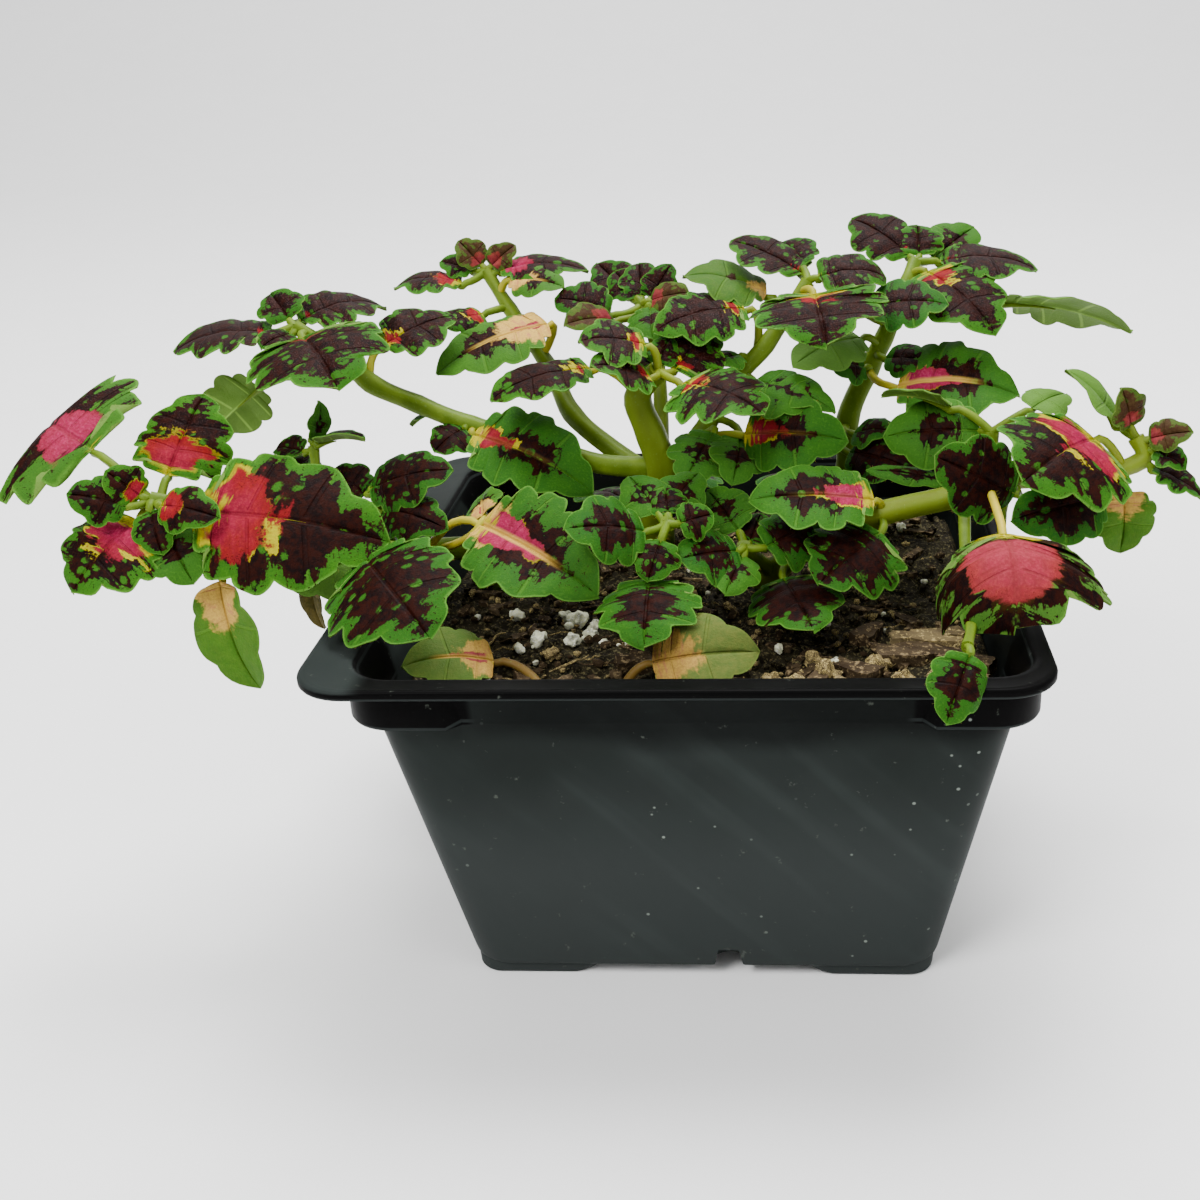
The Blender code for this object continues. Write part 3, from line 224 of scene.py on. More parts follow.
# Leaves: stem, blade base, blade tip, width, lobes a side, way the blade faces, fold of
# the halves in degrees, arch as a share of the length, and how the blade is coloured
LEAVES = {
    "left_plant": [
        ("a", (-103, -24, 95), (-119, -12, 97), 31, 4, (-0.3, -0.4, 0.85), 0, 0.15, "far_pink"),
        ("a", (-91, -23, 90), (-87, -11, 101), 18, 4, (0.1, -1, 1), 5, 0.06, "red"),
        ("a", (-95, -29, 84), (-104, -39, 75), 20, 4, (-0.3, -1, 1), 0, 0.08, "pink"),
        ("a", (-85, -28, 85), (-52, -28, 80), 26, 4, (0, -1, 0.9), 5, 0.08, "big"),
        ("a", (-82, -30, 73), (-78, -33, 53), 15, 2, (-0.4, -1, 0.1), 20, 0.05, "withered"),
        ("a", (-94, -28, 88), (-99, -29, 93), 8, 2, (0, -1, 1), 0, 0.1, "small_red"),
        ("a", (-90, -30, 87), (-79, -33, 86), 9, 2, (0.1, -1, 1), 0, 0.1, "small_red"),
        ("a", (-92, -30, 86), (-89, -35, 80), 8, 2, (0, -1, 1), 0, 0.1, "small"),
        ("a", (-96, -30, 87), (-105, -32, 90), 9, 2, (0, -1, 1), 0, 0.1, "small"),
        ("a", (-90, -30, 83), (-84, -36, 75), 12, 3, (0.2, -1, 0.8), 0, 0.1, "green"),
        ("a", (-69, -21, 71), (-68, -22, 60), 6, 2, (-0.5, -1, 0), 30, 0.05, "scrap"),
        ("a", (-60, -19, 73), (-70, -28, 71), 11, 3, (0, -1, 0.6), 0, 0.08, "under"),
        ("a", (-56, -30, 77), (-42, -48, 71), 24, 4, (-0.1, -0.9, 1), 0, 0.08, "maroon_big"),
        ("a", (-39, -14, 77), (-17, -28, 70), 22, 4, (0.35, -1, 0.8), 18, 0.06, "cream_pink"),
        ("a", (-39, -12, 78), (-40, -5, 80), 9, 2, (-0.6, -1, 0.6), 10, 0.05, "pale"),
        ("p", (-62, -2, 80), (-46, -4, 85), 14, 3, (0, -0.6, 1), 0, 0.05, "dark"),
        ("p", (-59, -5, 77), (-46, -12, 76), 11, 3, (0, -1, 1), 0, 0.08, "dark"),
        ("p", (-63, -2, 79), (-70, 1, 83), 9, 2, (0, -1, 0.7), 0, 0.08, "dark"),
        ("q", (-71, -4, 90), (-69, -2, 97), 6, 2, (1, -0.4, 0.2), 25, 0.05, "green"),
        ("q", (-70, -5, 90), (-60, -8, 92), 7, 2, (0.2, 0.1, 1), 25, 0.05, "dark"),
        ("q", (-73, -4, 88), (-79, -2, 88), 7, 2, (0, -0.5, 1), 20, 0.1, "dark"),
        ("q", (-71, -7, 84), (-79, 2, 85), 8, 2, (0, -0.8, 1), 0, 0.1, "green"),
    ],
    "central_plant": [
        ("b", (-79, 5, 108), (-97, 2, 106), 19, 4, (0, -0.1, 1), 5, 0.1, "maroon"),
        ("b", (-75, 10, 109), (-61, 20, 110), 17, 4, (0, -0.2, 1), 10, 0.12, "maroon"),
        ("b", (-72, 1, 108), (-62, -14, 103), 26, 4, (0.1, -0.6, 1), 10, 0.1, "maroon"),
        ("b", (-61, 14, 103), (-48, 22, 107), 16, 3, (0, -0.3, 1), 5, 0.08, "yellow_base"),
        ("b", (-84, 8, 97), (-95, 6, 88), 13, 3, (0.2, 1, 0.6), 20, 0.06, "under"),
        ("b", (-76, 7, 110), (-81, 13, 114), 9, 2, (0, -0.8, 1), 10, 0.1, "small"),
        ("b", (-75, 4, 108), (-79, -2, 107), 8, 2, (0, -0.6, 1), 10, 0.1, "small"),
        ("b", (-45, 6, 89), (-50, 1, 86), 9, 2, (0, -0.7, 1), 0, 0.1, "dark"),
        ("b", (-49, 10, 91), (-57, 13, 88), 7, 2, (0, 0.1, 1), 10, 0.1, "green"),
        ("b", (-43, 5, 88), (-20, 0, 79), 19, 4, (0.1, -0.6, 1), 12, 0.06, "cream_green"),
        ("c", (-50, 38, 110), (-64, 38, 110), 13, 3, (0, -0.1, 1), 5, 0.1, "red_small"),
        ("c", (-42, 40, 112), (-24, 40, 112), 13, 3, (0, -0.2, 1), 10, 0.08, "magenta"),
        ("c", (-39, 36, 111), (-28, 32, 110), 10, 3, (0, -0.5, 1), 10, 0.08, "pale"),
        ("c", (-45, 32, 105), (-52, 26, 104), 10, 3, (0, -0.6, 1), 0, 0.08, "red_small"),
        ("c", (-46, 41, 113), (-51, 43, 118), 7, 2, (0.3, -1, 0.4), 15, 0.05, "tip"),
        ("c", (-44, 40, 113), (-39, 42, 117), 6, 2, (-0.2, -1, 0.5), 15, 0.05, "tip"),
        ("c", (-48, 41, 112), (-55, 42, 114), 7, 2, (0, -0.6, 1), 10, 0.05, "small"),
        ("c", (-31, 26, 104), (-52, 16, 98), 17, 4, (-0.1, -0.4, 1), 8, 0.06, "pale"),
        ("m", (-21, 10, 99), (-39, 2, 97), 17, 4, (0, -0.2, 1), 8, 0.06, "yellow_base"),
        ("m", (-10, 7, 104), (-22, 4, 106), 16, 3, (0, -0.3, 1), 5, 0.08, "maroon_red"),
        ("m", (-9, 3, 99), (-19, -3, 103), 14, 3, (0, -0.4, 1), 5, 0.08, "maroon_red"),
        ("m", (-5, 8, 99), (2, 15, 105), 15, 3, (-0.1, -0.8, 1), 5, 0.06, "maroon_red"),
        ("m", (-3, 2, 98), (12, -7, 95), 20, 4, (0.2, -0.3, 1), 5, 0.08, "maroon_red"),
        ("m", (-8, 8, 100), (-6, 13, 104), 7, 2, (0, -1, 0.8), 5, 0.06, "small"),
        ("m", (-9, 8, 100), (-13, 15, 102), 7, 2, (0, -1, 0.8), 5, 0.06, "small"),
        ("m", (-17, 24, 68), (-27, 36, 65), 14, 3, (-0.2, 0.3, 1), 5, 0.08, "dark_green"),
        ("m", (-6, 26, 70), (-2, 40, 67), 14, 3, (0, 0.3, 1), 5, 0.08, "dark_green"),
        ("f", (-14, 35, 107), (-19, 42, 111), 9, 2, (0.2, -1, 0.8), 10, 0.05, "dark"),
        ("f", (-13, 35, 107), (-14, 43, 113), 9, 2, (0, -1, 0.8), 10, 0.05, "dark"),
        ("f", (-11, 34, 107), (-7, 38, 113), 8, 2, (-0.3, -1, 0.7), 10, 0.05, "dark"),
        ("f", (-11, 32, 107), (-3, 29, 109), 8, 2, (0, -0.8, 1), 10, 0.06, "tip"),
        ("f", (-16, 37, 107), (-23, 46, 112), 10, 3, (0.2, -1, 0.8), 10, 0.05, "dark"),
        ("f", (-11, 30, 106), (-10, 22, 102), 10, 3, (0, -0.9, 1), 0, 0.06, "green"),
        ("f", (-19, 30, 105), (-30, 31, 108), 12, 3, (0, -0.6, 1), 10, 0.1, "dark"),
        ("f", (-18, 28, 104), (-27, 21, 105), 9, 2, (0, -0.7, 1), 10, 0.1, "tip"),
        ("g", (21, 15, 111), (23, 0, 105), 25, 4, (0, -0.9, 1), 10, 0.08, "yellow_red"),
        ("g", (22, 21, 113), (35, 23, 113), 16, 3, (0, -0.3, 1), 8, 0.1, "maroon"),
        ("g", (19, 25, 113), (5, 34, 118), 14, 3, (0, -0.3, 1), 10, 0.06, "maroon"),
        ("g", (19, 27, 114), (15, 38, 117), 10, 3, (0, -0.8, 1), 10, 0.06, "dark"),
        ("g", (12, 26, 109), (-4, 26, 113), 16, 3, (0, -0.2, 1), 8, 0.1, "green_tan"),
        ("g", (8, 18, 108), (-9, 12, 106), 17, 4, (0, -0.3, 1), 5, 0.08, "maroon_red"),
        ("g", (10, 14, 95), (25, 7, 91), 10, 3, (0.1, -0.4, 1), 10, 0.08, "green"),
        ("g", (11, 12, 94), (20, 6, 92), 13, 3, (0.1, -0.6, 1), 5, 0.08, "green"),
        ("g", (7, 14, 100), (2, 8, 100), 7, 2, (0, -0.5, 1), 5, 0.08, "green"),
        ("g", (8, 6, 87), (27, 2, 87), 16, 3, (0, -0.9, 0.8), 10, 0.08, "cream_green"),
        ("g", (2, 7, 87), (-3, -3, 81), 13, 3, (-0.2, -1, 0.5), 0, 0.06, "green"),
        ("g", (7, 7, 86), (6, -4, 81), 11, 3, (0.2, -1, 0.5), 0, 0.06, "green"),
    ],
    "rear_right_plant": [
        ("h", (40, 35, 114), (29, 44, 120), 14, 3, (0, -0.4, 1), 8, 0.08, "maroon"),
        ("h", (46, 34, 113), (65, 34, 111), 16, 3, (0, -0.2, 1), 5, 0.1, "maroon"),
        ("h", (43, 29, 112), (55, 14, 104), 19, 4, (0.3, -0.8, 1), 5, 0.06, "maroon_red"),
        ("h", (57, 24, 107), (81, 20, 102), 18, 4, (0.2, 0.5, 1), 5, 0.06, "under"),
        ("h", (42, 35, 114), (42, 42, 119), 10, 3, (0, -1, 1), 8, 0.05, "small"),
        ("h", (45, 37, 113), (54, 48, 117), 12, 3, (0, -1, 1), 8, 0.05, "green"),
        ("h", (30, 22, 101), (17, 12, 99), 13, 3, (0, -0.5, 1), 0, 0.08, "under"),
        ("h", (31, 23, 95), (24, 19, 97), 9, 2, (0, -0.8, 1), 5, 0.08, "dark_green"),
        ("h", (35, 22, 97), (44, 18, 97), 9, 2, (0, -0.8, 1), 5, 0.08, "dark_green"),
        ("h", (32, 18, 108), (46, 16, 109), 14, 3, (0, -0.5, 1), 5, 0.06, "dark_green"),
        ("h", (37, 16, 93), (59, 10, 94), 21, 4, (0, -0.6, 1), 15, 0.08, "cream_pink"),
        ("h", (20, 33, 69), (10, 43, 66), 14, 3, (-0.2, 0.3, 1), 5, 0.08, "dark_green"),
        ("h", (34, 32, 71), (44, 42, 67), 15, 3, (0.2, 0.3, 1), 5, 0.08, "dark_green"),
        ("h", (29, 19, 83), (36, 14, 85), 9, 2, (0, -0.6, 1), 5, 0.08, "dark_green"),
        ("h", (28, 16, 80), (40, 8, 79), 12, 3, (0, -0.8, 1), 5, 0.08, "dark"),
    ],
    "right_plant": [
        ("y", (50, -4, 90), (33, -2, 89), 15, 3, (0, -0.9, 0.8), 0, 0.08, "green"),
        ("y", (59, -4, 94), (66, 2, 95), 9, 2, (0, -0.4, 1), 10, 0.08, "under"),
        ("y", (45, -2, 94), (33, 2, 96), 13, 3, (0.1, 0.3, 1), 15, 0.06, "under"),
        ("r", (55, -15, 82), (41, -18, 90), 15, 3, (0, -1, 0.5), 0, 0.04, "maroon_big"),
        ("r", (69, -10, 90), (55, -26, 89), 25, 4, (-0.3, -1, 0.7), 5, 0.08, "pink"),
        ("r", (74, -5, 91), (65, -3, 101), 9, 2, (0.6, -0.3, 0.6), 20, 0.05, "under"),
        ("r", (76, -6, 91), (74, -6, 98), 9, 2, (0.6, -1, 0.3), 15, 0.05, "tip"),
        ("r", (79, -7, 89), (86, -9, 91), 7, 2, (0, -0.8, 1), 15, 0.05, "tip"),
        ("r", (80, -8, 84), (88, -12, 80), 10, 3, (0.3, -0.2, 1), 15, 0.05, "dark"),
        ("r", (80, -8, 87), (85, -11, 85), 7, 2, (0.2, -0.5, 1), 15, 0.05, "small"),
        ("r", (71, -12, 80), (54, -20, 79), 14, 3, (0, -1, 0.7), 0, 0.06, "dark_green"),
        ("r", (75, -9, 80), (75, -11, 69), 13, 3, (0.3, -1, 0), 10, 0.05, "withered"),
        ("r", (51, -32, 81), (52, -49, 76), 36, 4, (0.1, -0.8, 1), -8, 0.1, "big_pink"),
        ("r", (58, -30, 72), (69, -34, 70), 9, 2, (0, 0.3, 1), 10, 0.05, "under"),
        ("k", (43, -57, 71), (39, -65, 64), 10, 3, (-0.2, -1, 0.3), 15, 0.05, "dark_green"),
        ("r", (31, -12, 80), (9, -14, 81), 18, 4, (0, -0.4, 1), 10, 0.06, "magenta_green"),
        ("r", (32, -15, 75), (21, -25, 70), 19, 4, (0, -0.6, 1), 0, 0.06, "maroon_big"),
        ("r", (15, -14, 66), (20, -32, 64), 17, 4, (0, -1, 1.2), 0, 0.06, "maroon_big"),
        ("r", (44, -8, 82), (30, -4, 83), 5, 2, (0, -0.5, 1), 0, 0.05, "green"),
        ("n", (7, -18, 73), (-3, -24, 74), 13, 3, (0, -0.9, 1), 0, 0.06, "dark_green"),
        ("n", (7, -13, 75), (1, -4, 80), 11, 3, (0, -1, 1), 10, 0.06, "green"),
        ("n", (12, -16, 73), (22, -9, 75), 13, 3, (0, -0.9, 1), 0, 0.06, "dark_green"),
        ("n", (8, -18, 72), (5, -27, 69), 9, 2, (0, -1, 1), 0, 0.06, "green"),
        ("n", (9, -14, 73), (11, -7, 76), 7, 2, (0, -1, 1), 0, 0.06, "small"),
    ],
    "front_sprig": [
        ("l", (-9, -21, 78), (-22, -27, 81), 14, 3, (0, -0.7, 1), 0, 0.08, "dark_green"),
        ("l", (-8, -26, 71), (-8, -41, 66), 18, 4, (0, -1, 1.2), 0, 0.06, "maroon_green"),
        ("l", (-6, -23, 77), (-8, -29, 72), 9, 2, (0, -1, 1), 0, 0.06, "small"),
        ("l", (-5, -18, 80), (-6, -11, 83), 8, 2, (0, -1, 1), 0, 0.06, "small"),
        ("l", (-3, -20, 79), (3, -18, 80), 8, 2, (0, -1, 1), 0, 0.06, "small"),
        ("l", (-5, -15, 80), (0, -6, 84), 9, 2, (0, -1, 1), 0, 0.06, "green"),
        ("l", (-7, -17, 80), (-13, -7, 84), 9, 2, (0, -1, 1), 0, 0.06, "green"),
    ],
}

# Long stalks that leave their stem further back than the nearest point, by blade base
STALK_ROOTS = {
    (-82, -30, 73): (-84, -25, 84),
    (-56, -30, 77): (-58, -14, 72),
    (-39, -14, 77): (-51, -7, 69),
    (-39, -12, 78): (-49, -5, 68),
    (-84, 8, 97): (-64, 10, 97),
    (-61, 14, 103): (-63, 10, 97),
    (-31, 26, 104): (-33, 28, 97),
    (-21, 10, 99): (-12, 8, 94),
    (12, 26, 109): (12, 18, 101),
    (8, 18, 108): (10, 17, 99),
    (57, 24, 107): (40, 32, 111),
    (37, 16, 93): (32, 26, 94),
    (32, 18, 108): (36, 28, 102),
    (51, -32, 81): (51, -10, 82),
    (58, -30, 72): (55, -10, 83),
    (69, -10, 90): (75, -7, 84),
    (8, 6, 87): (-2, 13, 84),
    (2, 7, 87): (-3, 12, 82),
}

# Blades that curl more than the others, by blade base: how far the first and the second
# half roll down, in radians, and how far the tip hangs
CURLS = {
    (-103, -24, 95): (0.25, 0.25, 0.8),
    (51, -32, 81): (0.5, 1.5, 0.9),
    (43, -57, 71): (1.7, 0.5, 0.3),
}

# Fallen leaves on the mix: blade base, blade tip, width, lobes a side, stalk end, fold,
# way the blade faces, and look
FALLEN_ARCH = 0.1
FALLEN_STALK = 1.3
FALLEN = {
    "fallen_leaf_left": ((-35, -33, 59), (-50, -37, 60.2), 15, 3, (-26, -38, 56.4), 6,
                         (0, -0.35, 1), "fallen_pink"),
    "fallen_leaf_centre": ((-7, -37, 60.5), (11, -36, 62), 15, 3, (-12, -38, 56.3), 12,
                           (0, -1, 0.9), "fallen_tan"),
}

# How a blade is coloured: green margin as a share of the half width, pink reach from the
# base, its hue from red to magenta, yellow about it, cream reach, green from dark to
# bright, how dry the blade is, and how pale
LOOKS = {
    "pink": (0.21, 0.46, 0.60, 0.60, 0.00, 0.80, 0.0, 0.0),
    "red": (0.20, 0.48, 0.05, 0.40, 0.00, 0.85, 0.0, 0.0),
    "big": (0.19, 0.44, 0.15, 0.80, 0.00, 0.80, 0.0, 0.0),
    "withered": (1.50, 0.00, 0.00, 0.25, 0.38, 0.75, 0.15, 0.1),
    "small_red": (0.25, 0.34, 0.20, 0.40, 0.00, 0.65, 0.0, 0.0),
    "small": (0.29, 0.00, 0.00, 0.00, 0.00, 0.45, 0.0, 0.0),
    "green": (0.58, 0.00, 0.00, 0.00, 0.00, 0.35, 0.0, 0.1),
    "scrap": (1.50, 0.00, 0.00, 0.00, 0.30, 0.20, 0.8, 0.2),
    "under": (1.50, 0.00, 0.00, 0.00, 0.00, 0.80, 0.0, 0.7),
    "dark": (0.21, 0.00, 0.00, 0.00, 0.00, 0.25, 0.0, 0.0),
    "maroon_big": (0.22, 0.00, 0.00, 0.00, 0.00, 0.32, 0.0, 0.0),
    "maroon": (0.18, 0.10, 0.10, 0.25, 0.00, 0.75, 0.0, 0.0),
    "yellow_base": (0.20, 0.16, 0.05, 0.90, 0.00, 0.85, 0.0, 0.0),
    "cream_green": (0.55, 0.32, 0.20, 0.90, 0.08, 0.28, 0.0, 0.02),
    "red_small": (0.24, 0.36, 0.05, 0.70, 0.00, 0.70, 0.0, 0.0),
    "magenta": (0.22, 0.34, 0.90, 0.30, 0.00, 0.60, 0.0, 0.0),
    "pale": (0.45, 0.36, 0.80, 0.20, 0.42, 0.60, 0.0, 0.2),
    "tip": (0.27, 0.35, 0.50, 0.00, 0.00, 0.45, 0.35, 0.0),
    "cream_pink": (0.46, 0.52, 1.00, 0.40, 0.22, 0.30, 0.0, 0.08),
    "maroon_red": (0.20, 0.22, 0.05, 0.55, 0.00, 0.80, 0.0, 0.0),
    "yellow_red": (0.17, 0.24, 0.05, 1.00, 0.00, 0.85, 0.0, 0.0),
    # Low leaves under the others take dark_green: partly their own deep green, partly painted
    # shade
    "dark_green": (0.36, 0.00, 0.00, 0.00, 0.00, 0.15, 0.0, 0.0),
    "green_tan": (0.85, 0.00, 0.00, 0.00, 0.22, 0.35, 0.15, 0.15),
    "big_pink": (0.10, 0.86, 0.40, 0.32, 0.00, 0.75, 0.0, 0.30),
    "magenta_green": (0.40, 0.46, 0.95, 0.60, 0.08, 0.40, 0.0, 0.05),
    "fallen_pink": (1.50, 0.46, 0.85, 0.20, 0.36, 0.25, 0.30, 0.5),
    "fallen_tan": (1.50, 0.00, 0.00, 0.00, 0.42, 0.25, 0.45, 0.8),
    "far_pink": (0.24, 0.48, 0.95, 0.15, 0.00, 0.60, 0.0, 0.12),
    "maroon_green": (0.35, 0.00, 0.00, 0.00, 0.00, 0.35, 0.0, 0.0),
}


def finish_piece(bm, name, mat, node=None, smooth=True):
    """A mesh in millimetres becomes a piece of the part, in place of the node if one is named."""
    bmesh.ops.scale(bm, vec=(MM, MM, MM), verts=bm.verts)
    bmesh.ops.translate(bm, vec=(SHIFT_X, SHIFT_Y, 0), verts=bm.verts)
    mesh = bpy.data.meshes.new(name)
    bm.to_mesh(mesh)
    bm.free()
    obj = bpy.data.objects.new(name, mesh)
    bpy.context.scene.collection.objects.link(obj)
    mesh.materials.append(mat)
    if smooth:
        mesh.shade_smooth()
        mesh.set_sharp_from_angle(angle=math.radians(SHARP_ANGLE))
    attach(obj, "root")
    if node:
        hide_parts(node)


def add_to(bm, extra):
    """Append one bmesh to another and drop it."""
    mesh = bpy.data.meshes.new("passing")
    extra.to_mesh(mesh)
    extra.free()
    bm.from_mesh(mesh)
    bpy.data.meshes.remove(mesh)


# Stems and stalks
def smooth_route(points, steps):
    """A smooth curve through the route's own points, with the radius carried along."""
    smooth = []
    count = len(points)
    for index in range(count - 1):
        before = points[max(index - 1, 0)]
        start = points[index]
        end = points[index + 1]
        after = points[min(index + 2, count - 1)]
        for step in range(steps):
            t = step / steps
            row = []
            for a, b, c, d in zip(before, start, end, after):
                row.append(0.5 * (2 * b + (c - a) * t + (2 * a - 5 * b + 4 * c - d) * t * t
                                  + (3 * b - a - 3 * c + d) * t ** 3))
            smooth.append(tuple(row))
    smooth.append(points[-1])
    return smooth


def grid_sheet(columns, rows, colours=(), vectors=(), numbers=()):
    """A grid with named vertex layers, and its vertices listed by row and column."""
    bm = bmesh.new()
    for name in colours:
        bm.verts.layers.float_color.new(name)
    for name in vectors:
        bm.verts.layers.float_vector.new(name)
    for name in numbers:
        bm.verts.layers.float.new(name)
    bmesh.ops.create_grid(bm, x_segments=columns, y_segments=rows, size=1)
    places = {}
    for vertex in bm.verts:
        column = round((vertex.co.x + 1) / 2 * columns)
        row = round((vertex.co.y + 1) / 2 * rows)
        places[row, column] = vertex
    return bm, places


def tube(route, sides, square=0.0, tint=PLAIN_TINT, swell=()):
    """A stem along the route; square rounds its section towards four flat sides."""
    rows = len(route) - 1
    bm, places = grid_sheet(sides, rows, ["shade"])
    shade = bm.verts.layers.float_color["shade"]
    spots = [Vector(point[:3]) for point in route]
    tangents = []
    for row in range(rows + 1):
        ahead = spots[min(row + 1, rows)] - spots[max(row - 1, 0)]
        tangents.append(ahead.normalized())
    across = tangents[0].orthogonal().normalized()
    length = 0.0
    for row in range(rows + 1):
        if row:
            length += (spots[row] - spots[row - 1]).length
            across = across - tangents[row] * across.dot(tangents[row])
            across.normalize()
        up = tangents[row].cross(across)
        radius = route[row][3]
        for place, extra, reach in swell:
            radius += extra * math.exp(-((spots[row] - Vector(place)).length / reach) ** 2)
        for column in range(sides + 1):
            turn = 2 * math.pi * column / sides
            out = radius * (1 + square * (0.5 * math.cos(4 * turn) - 0.15))
            vertex = places[row, column]
            vertex.co = spots[row] + (across * math.cos(turn) + up * math.sin(turn)) * out
            vertex[shade] = (tint, length / 100, 0.5 + 0.5 * math.cos(4 * turn), 1)
    bmesh.ops.remove_doubles(bm, verts=bm.verts, dist=0.0005)
    ends = [edge for edge in bm.edges if edge.is_boundary]
    bmesh.ops.holes_fill(bm, edges=ends, sides=sides)
    bmesh.ops.recalc_face_normals(bm, faces=bm.faces)
    return bm


def nearest_on(route, point):
    """The closest point of a stem's centre line, and the stem's radius there."""
    best = None
    for start, end in zip(route, route[1:]):
        a = Vector(start[:3])
        line = Vector(end[:3]) - a
        share = min(1.0, max(0.0, (Vector(point) - a).dot(line) / line.length_squared))
        spot = a + line * share
        gap = (Vector(point) - spot).length
        if best is None or gap < best[0]:
            best = (gap, spot, start[3] + (end[3] - start[3]) * share)
    return best[1], best[2]


# Blades
def outline(t):
    """Distance along the blade and half width, both from 0 to 1, of the plain ovate outline."""
    along = BASE_PACE * t + (1 - BASE_PACE) * t * t
    return along, (along ** BASE_ROUND) * (1 - along) ** TIP_ROUND / WIDEST


def smooth_step(low, high, value):
    """0 at low and 1 at high, smooth between; a low above high turns it round."""
    share = min(1.0, max(0.0, (value - low) / (high - low)))
    return share * share * (3 - 2 * share)


class Blade:
    """The maths of one blade: where a share along and a share across it lie in space."""

    def __init__(self, base, tip, width, lobes, face, fold, arch, seed):
        self.base = Vector(base)
        self.length = (Vector(tip) - self.base).length
        self.axis = (Vector(tip) - self.base).normalized()
        normal = Vector(face)
        self.normal = (normal - self.axis * normal.dot(self.axis)).normalized()
        self.side = self.axis.cross(self.normal)
        self.width = width
        self.lobes = lobes
        self.fold = math.radians(fold)
        self.arch = arch
        rng = random.Random(seed)
        self.depths = [[rng.uniform(0.6, 1.25) for lobe in range(lobes + 2)] for half in (0, 1)]
        self.skews = [rng.uniform(-0.35, 0.35), rng.uniform(-0.35, 0.35)]
        self.wave = rng.uniform(0.8, 1.3)
        self.phase = rng.uniform(-0.6, 0.6)
        self.pucker = rng.uniform(0.8, 1.3)
        self.rolls = [rng.uniform(0.15, 0.65), rng.uniform(0.15, 0.65)]
        self.droop = rng.uniform(0.0, 0.25)
        if base in CURLS:
            left, right, self.droop = CURLS[base]
            self.rolls = [left, right]

    def plain(self, t):
        """The outline without its lobes, forward and sideways, in millimetres."""
        along, wide = outline(t)
        return along * self.length, wide * self.width * (0.5 - 0.6 * LOBE_DEPTH)

    def margin(self, t, half):
        """Forward distance and half width of the lobed margin, in millimetres."""
        forward, reach = self.plain(t)
        ahead, aside = self.plain(min(1.0, t + 0.01))
        back, beside = self.plain(max(0.0, t - 0.01))
        run = Vector((ahead - back, aside - beside)).normalized()
        beat = t * (2 * self.lobes + 1)
        lobe = min(self.lobes + 1, int(beat / 2))
        skewed = beat + self.skews[half] * math.sin(math.pi * t)
        lift = abs(math.sin(math.pi * skewed / 2)) ** 0.55
        small = 0.0
        if self.width > 16:
            small = 0.16 * math.sin(math.pi * skewed * 1.5 + half)
        out = LOBE_DEPTH * self.width * (1.25 * lift - 0.75 + small) * self.depths[half][lobe]
        out *= smooth_step(0.04, 0.22, t) * smooth_step(1.0, 0.90, t)
        return min(forward - run.y * out, self.length), max(reach + run.x * out, 0.35 * (1 - t))

    def flat(self, t, across):
        """A point of the flattened blade: forward and sideways, in millimetres."""
        half = 0 if across < 0 else 1
        forward, reach = self.margin(t, half)
        along = outline(t)[0]
        middle = 0.99 * self.length * along ** 1.25
        share = abs(across)
        return middle + (forward - middle) * share ** 0.85, reach * across

    def point(self, t, across):
        """A point of the folded, rolled and quilted blade, in space."""
        x, y = self.flat(t, across)
        half = 0 if across < 0 else 1
        share = abs(across)
        sign = -1 if across < 0 else 1
        forward = x / self.length
        bend = 2 * self.rolls[half] / self.width
        turned = self.fold - bend * abs(y)
        level = sign * (math.sin(self.fold) - math.sin(turned)) / bend
        height = (math.cos(turned) - math.cos(self.fold)) / bend
        height += self.arch * self.length * 4 * forward * (1 - forward)
        ripple = math.sin(2.4 * math.pi * t * self.wave + sign + self.phase)
        height += WAVE * self.width * ripple * share ** 2 * smooth_step(0, 0.12, t)
        beat = t * (2 * self.lobes + 1)
        between = 0.5 + 0.5 * math.cos(math.pi * beat)
        swell = share ** 0.5 * (1 - share ** 3) * math.sin(math.pi * t) ** 0.5
        height += QUILT * self.pucker * self.width * (between - 0.4) * swell
        height -= 0.03 * self.width * (1 - between) * share ** 4 * math.sin(math.pi * t)
        height -= 0.35 * (1 - smooth_step(0, 0.09, share))
        past = max(0.0, forward - 0.35)
        height -= self.droop * self.length * past * past
        x -= 0.25 * self.droop ** 2 * self.length * past ** 2
        return self.base + self.axis * x + self.side * level + self.normal * height


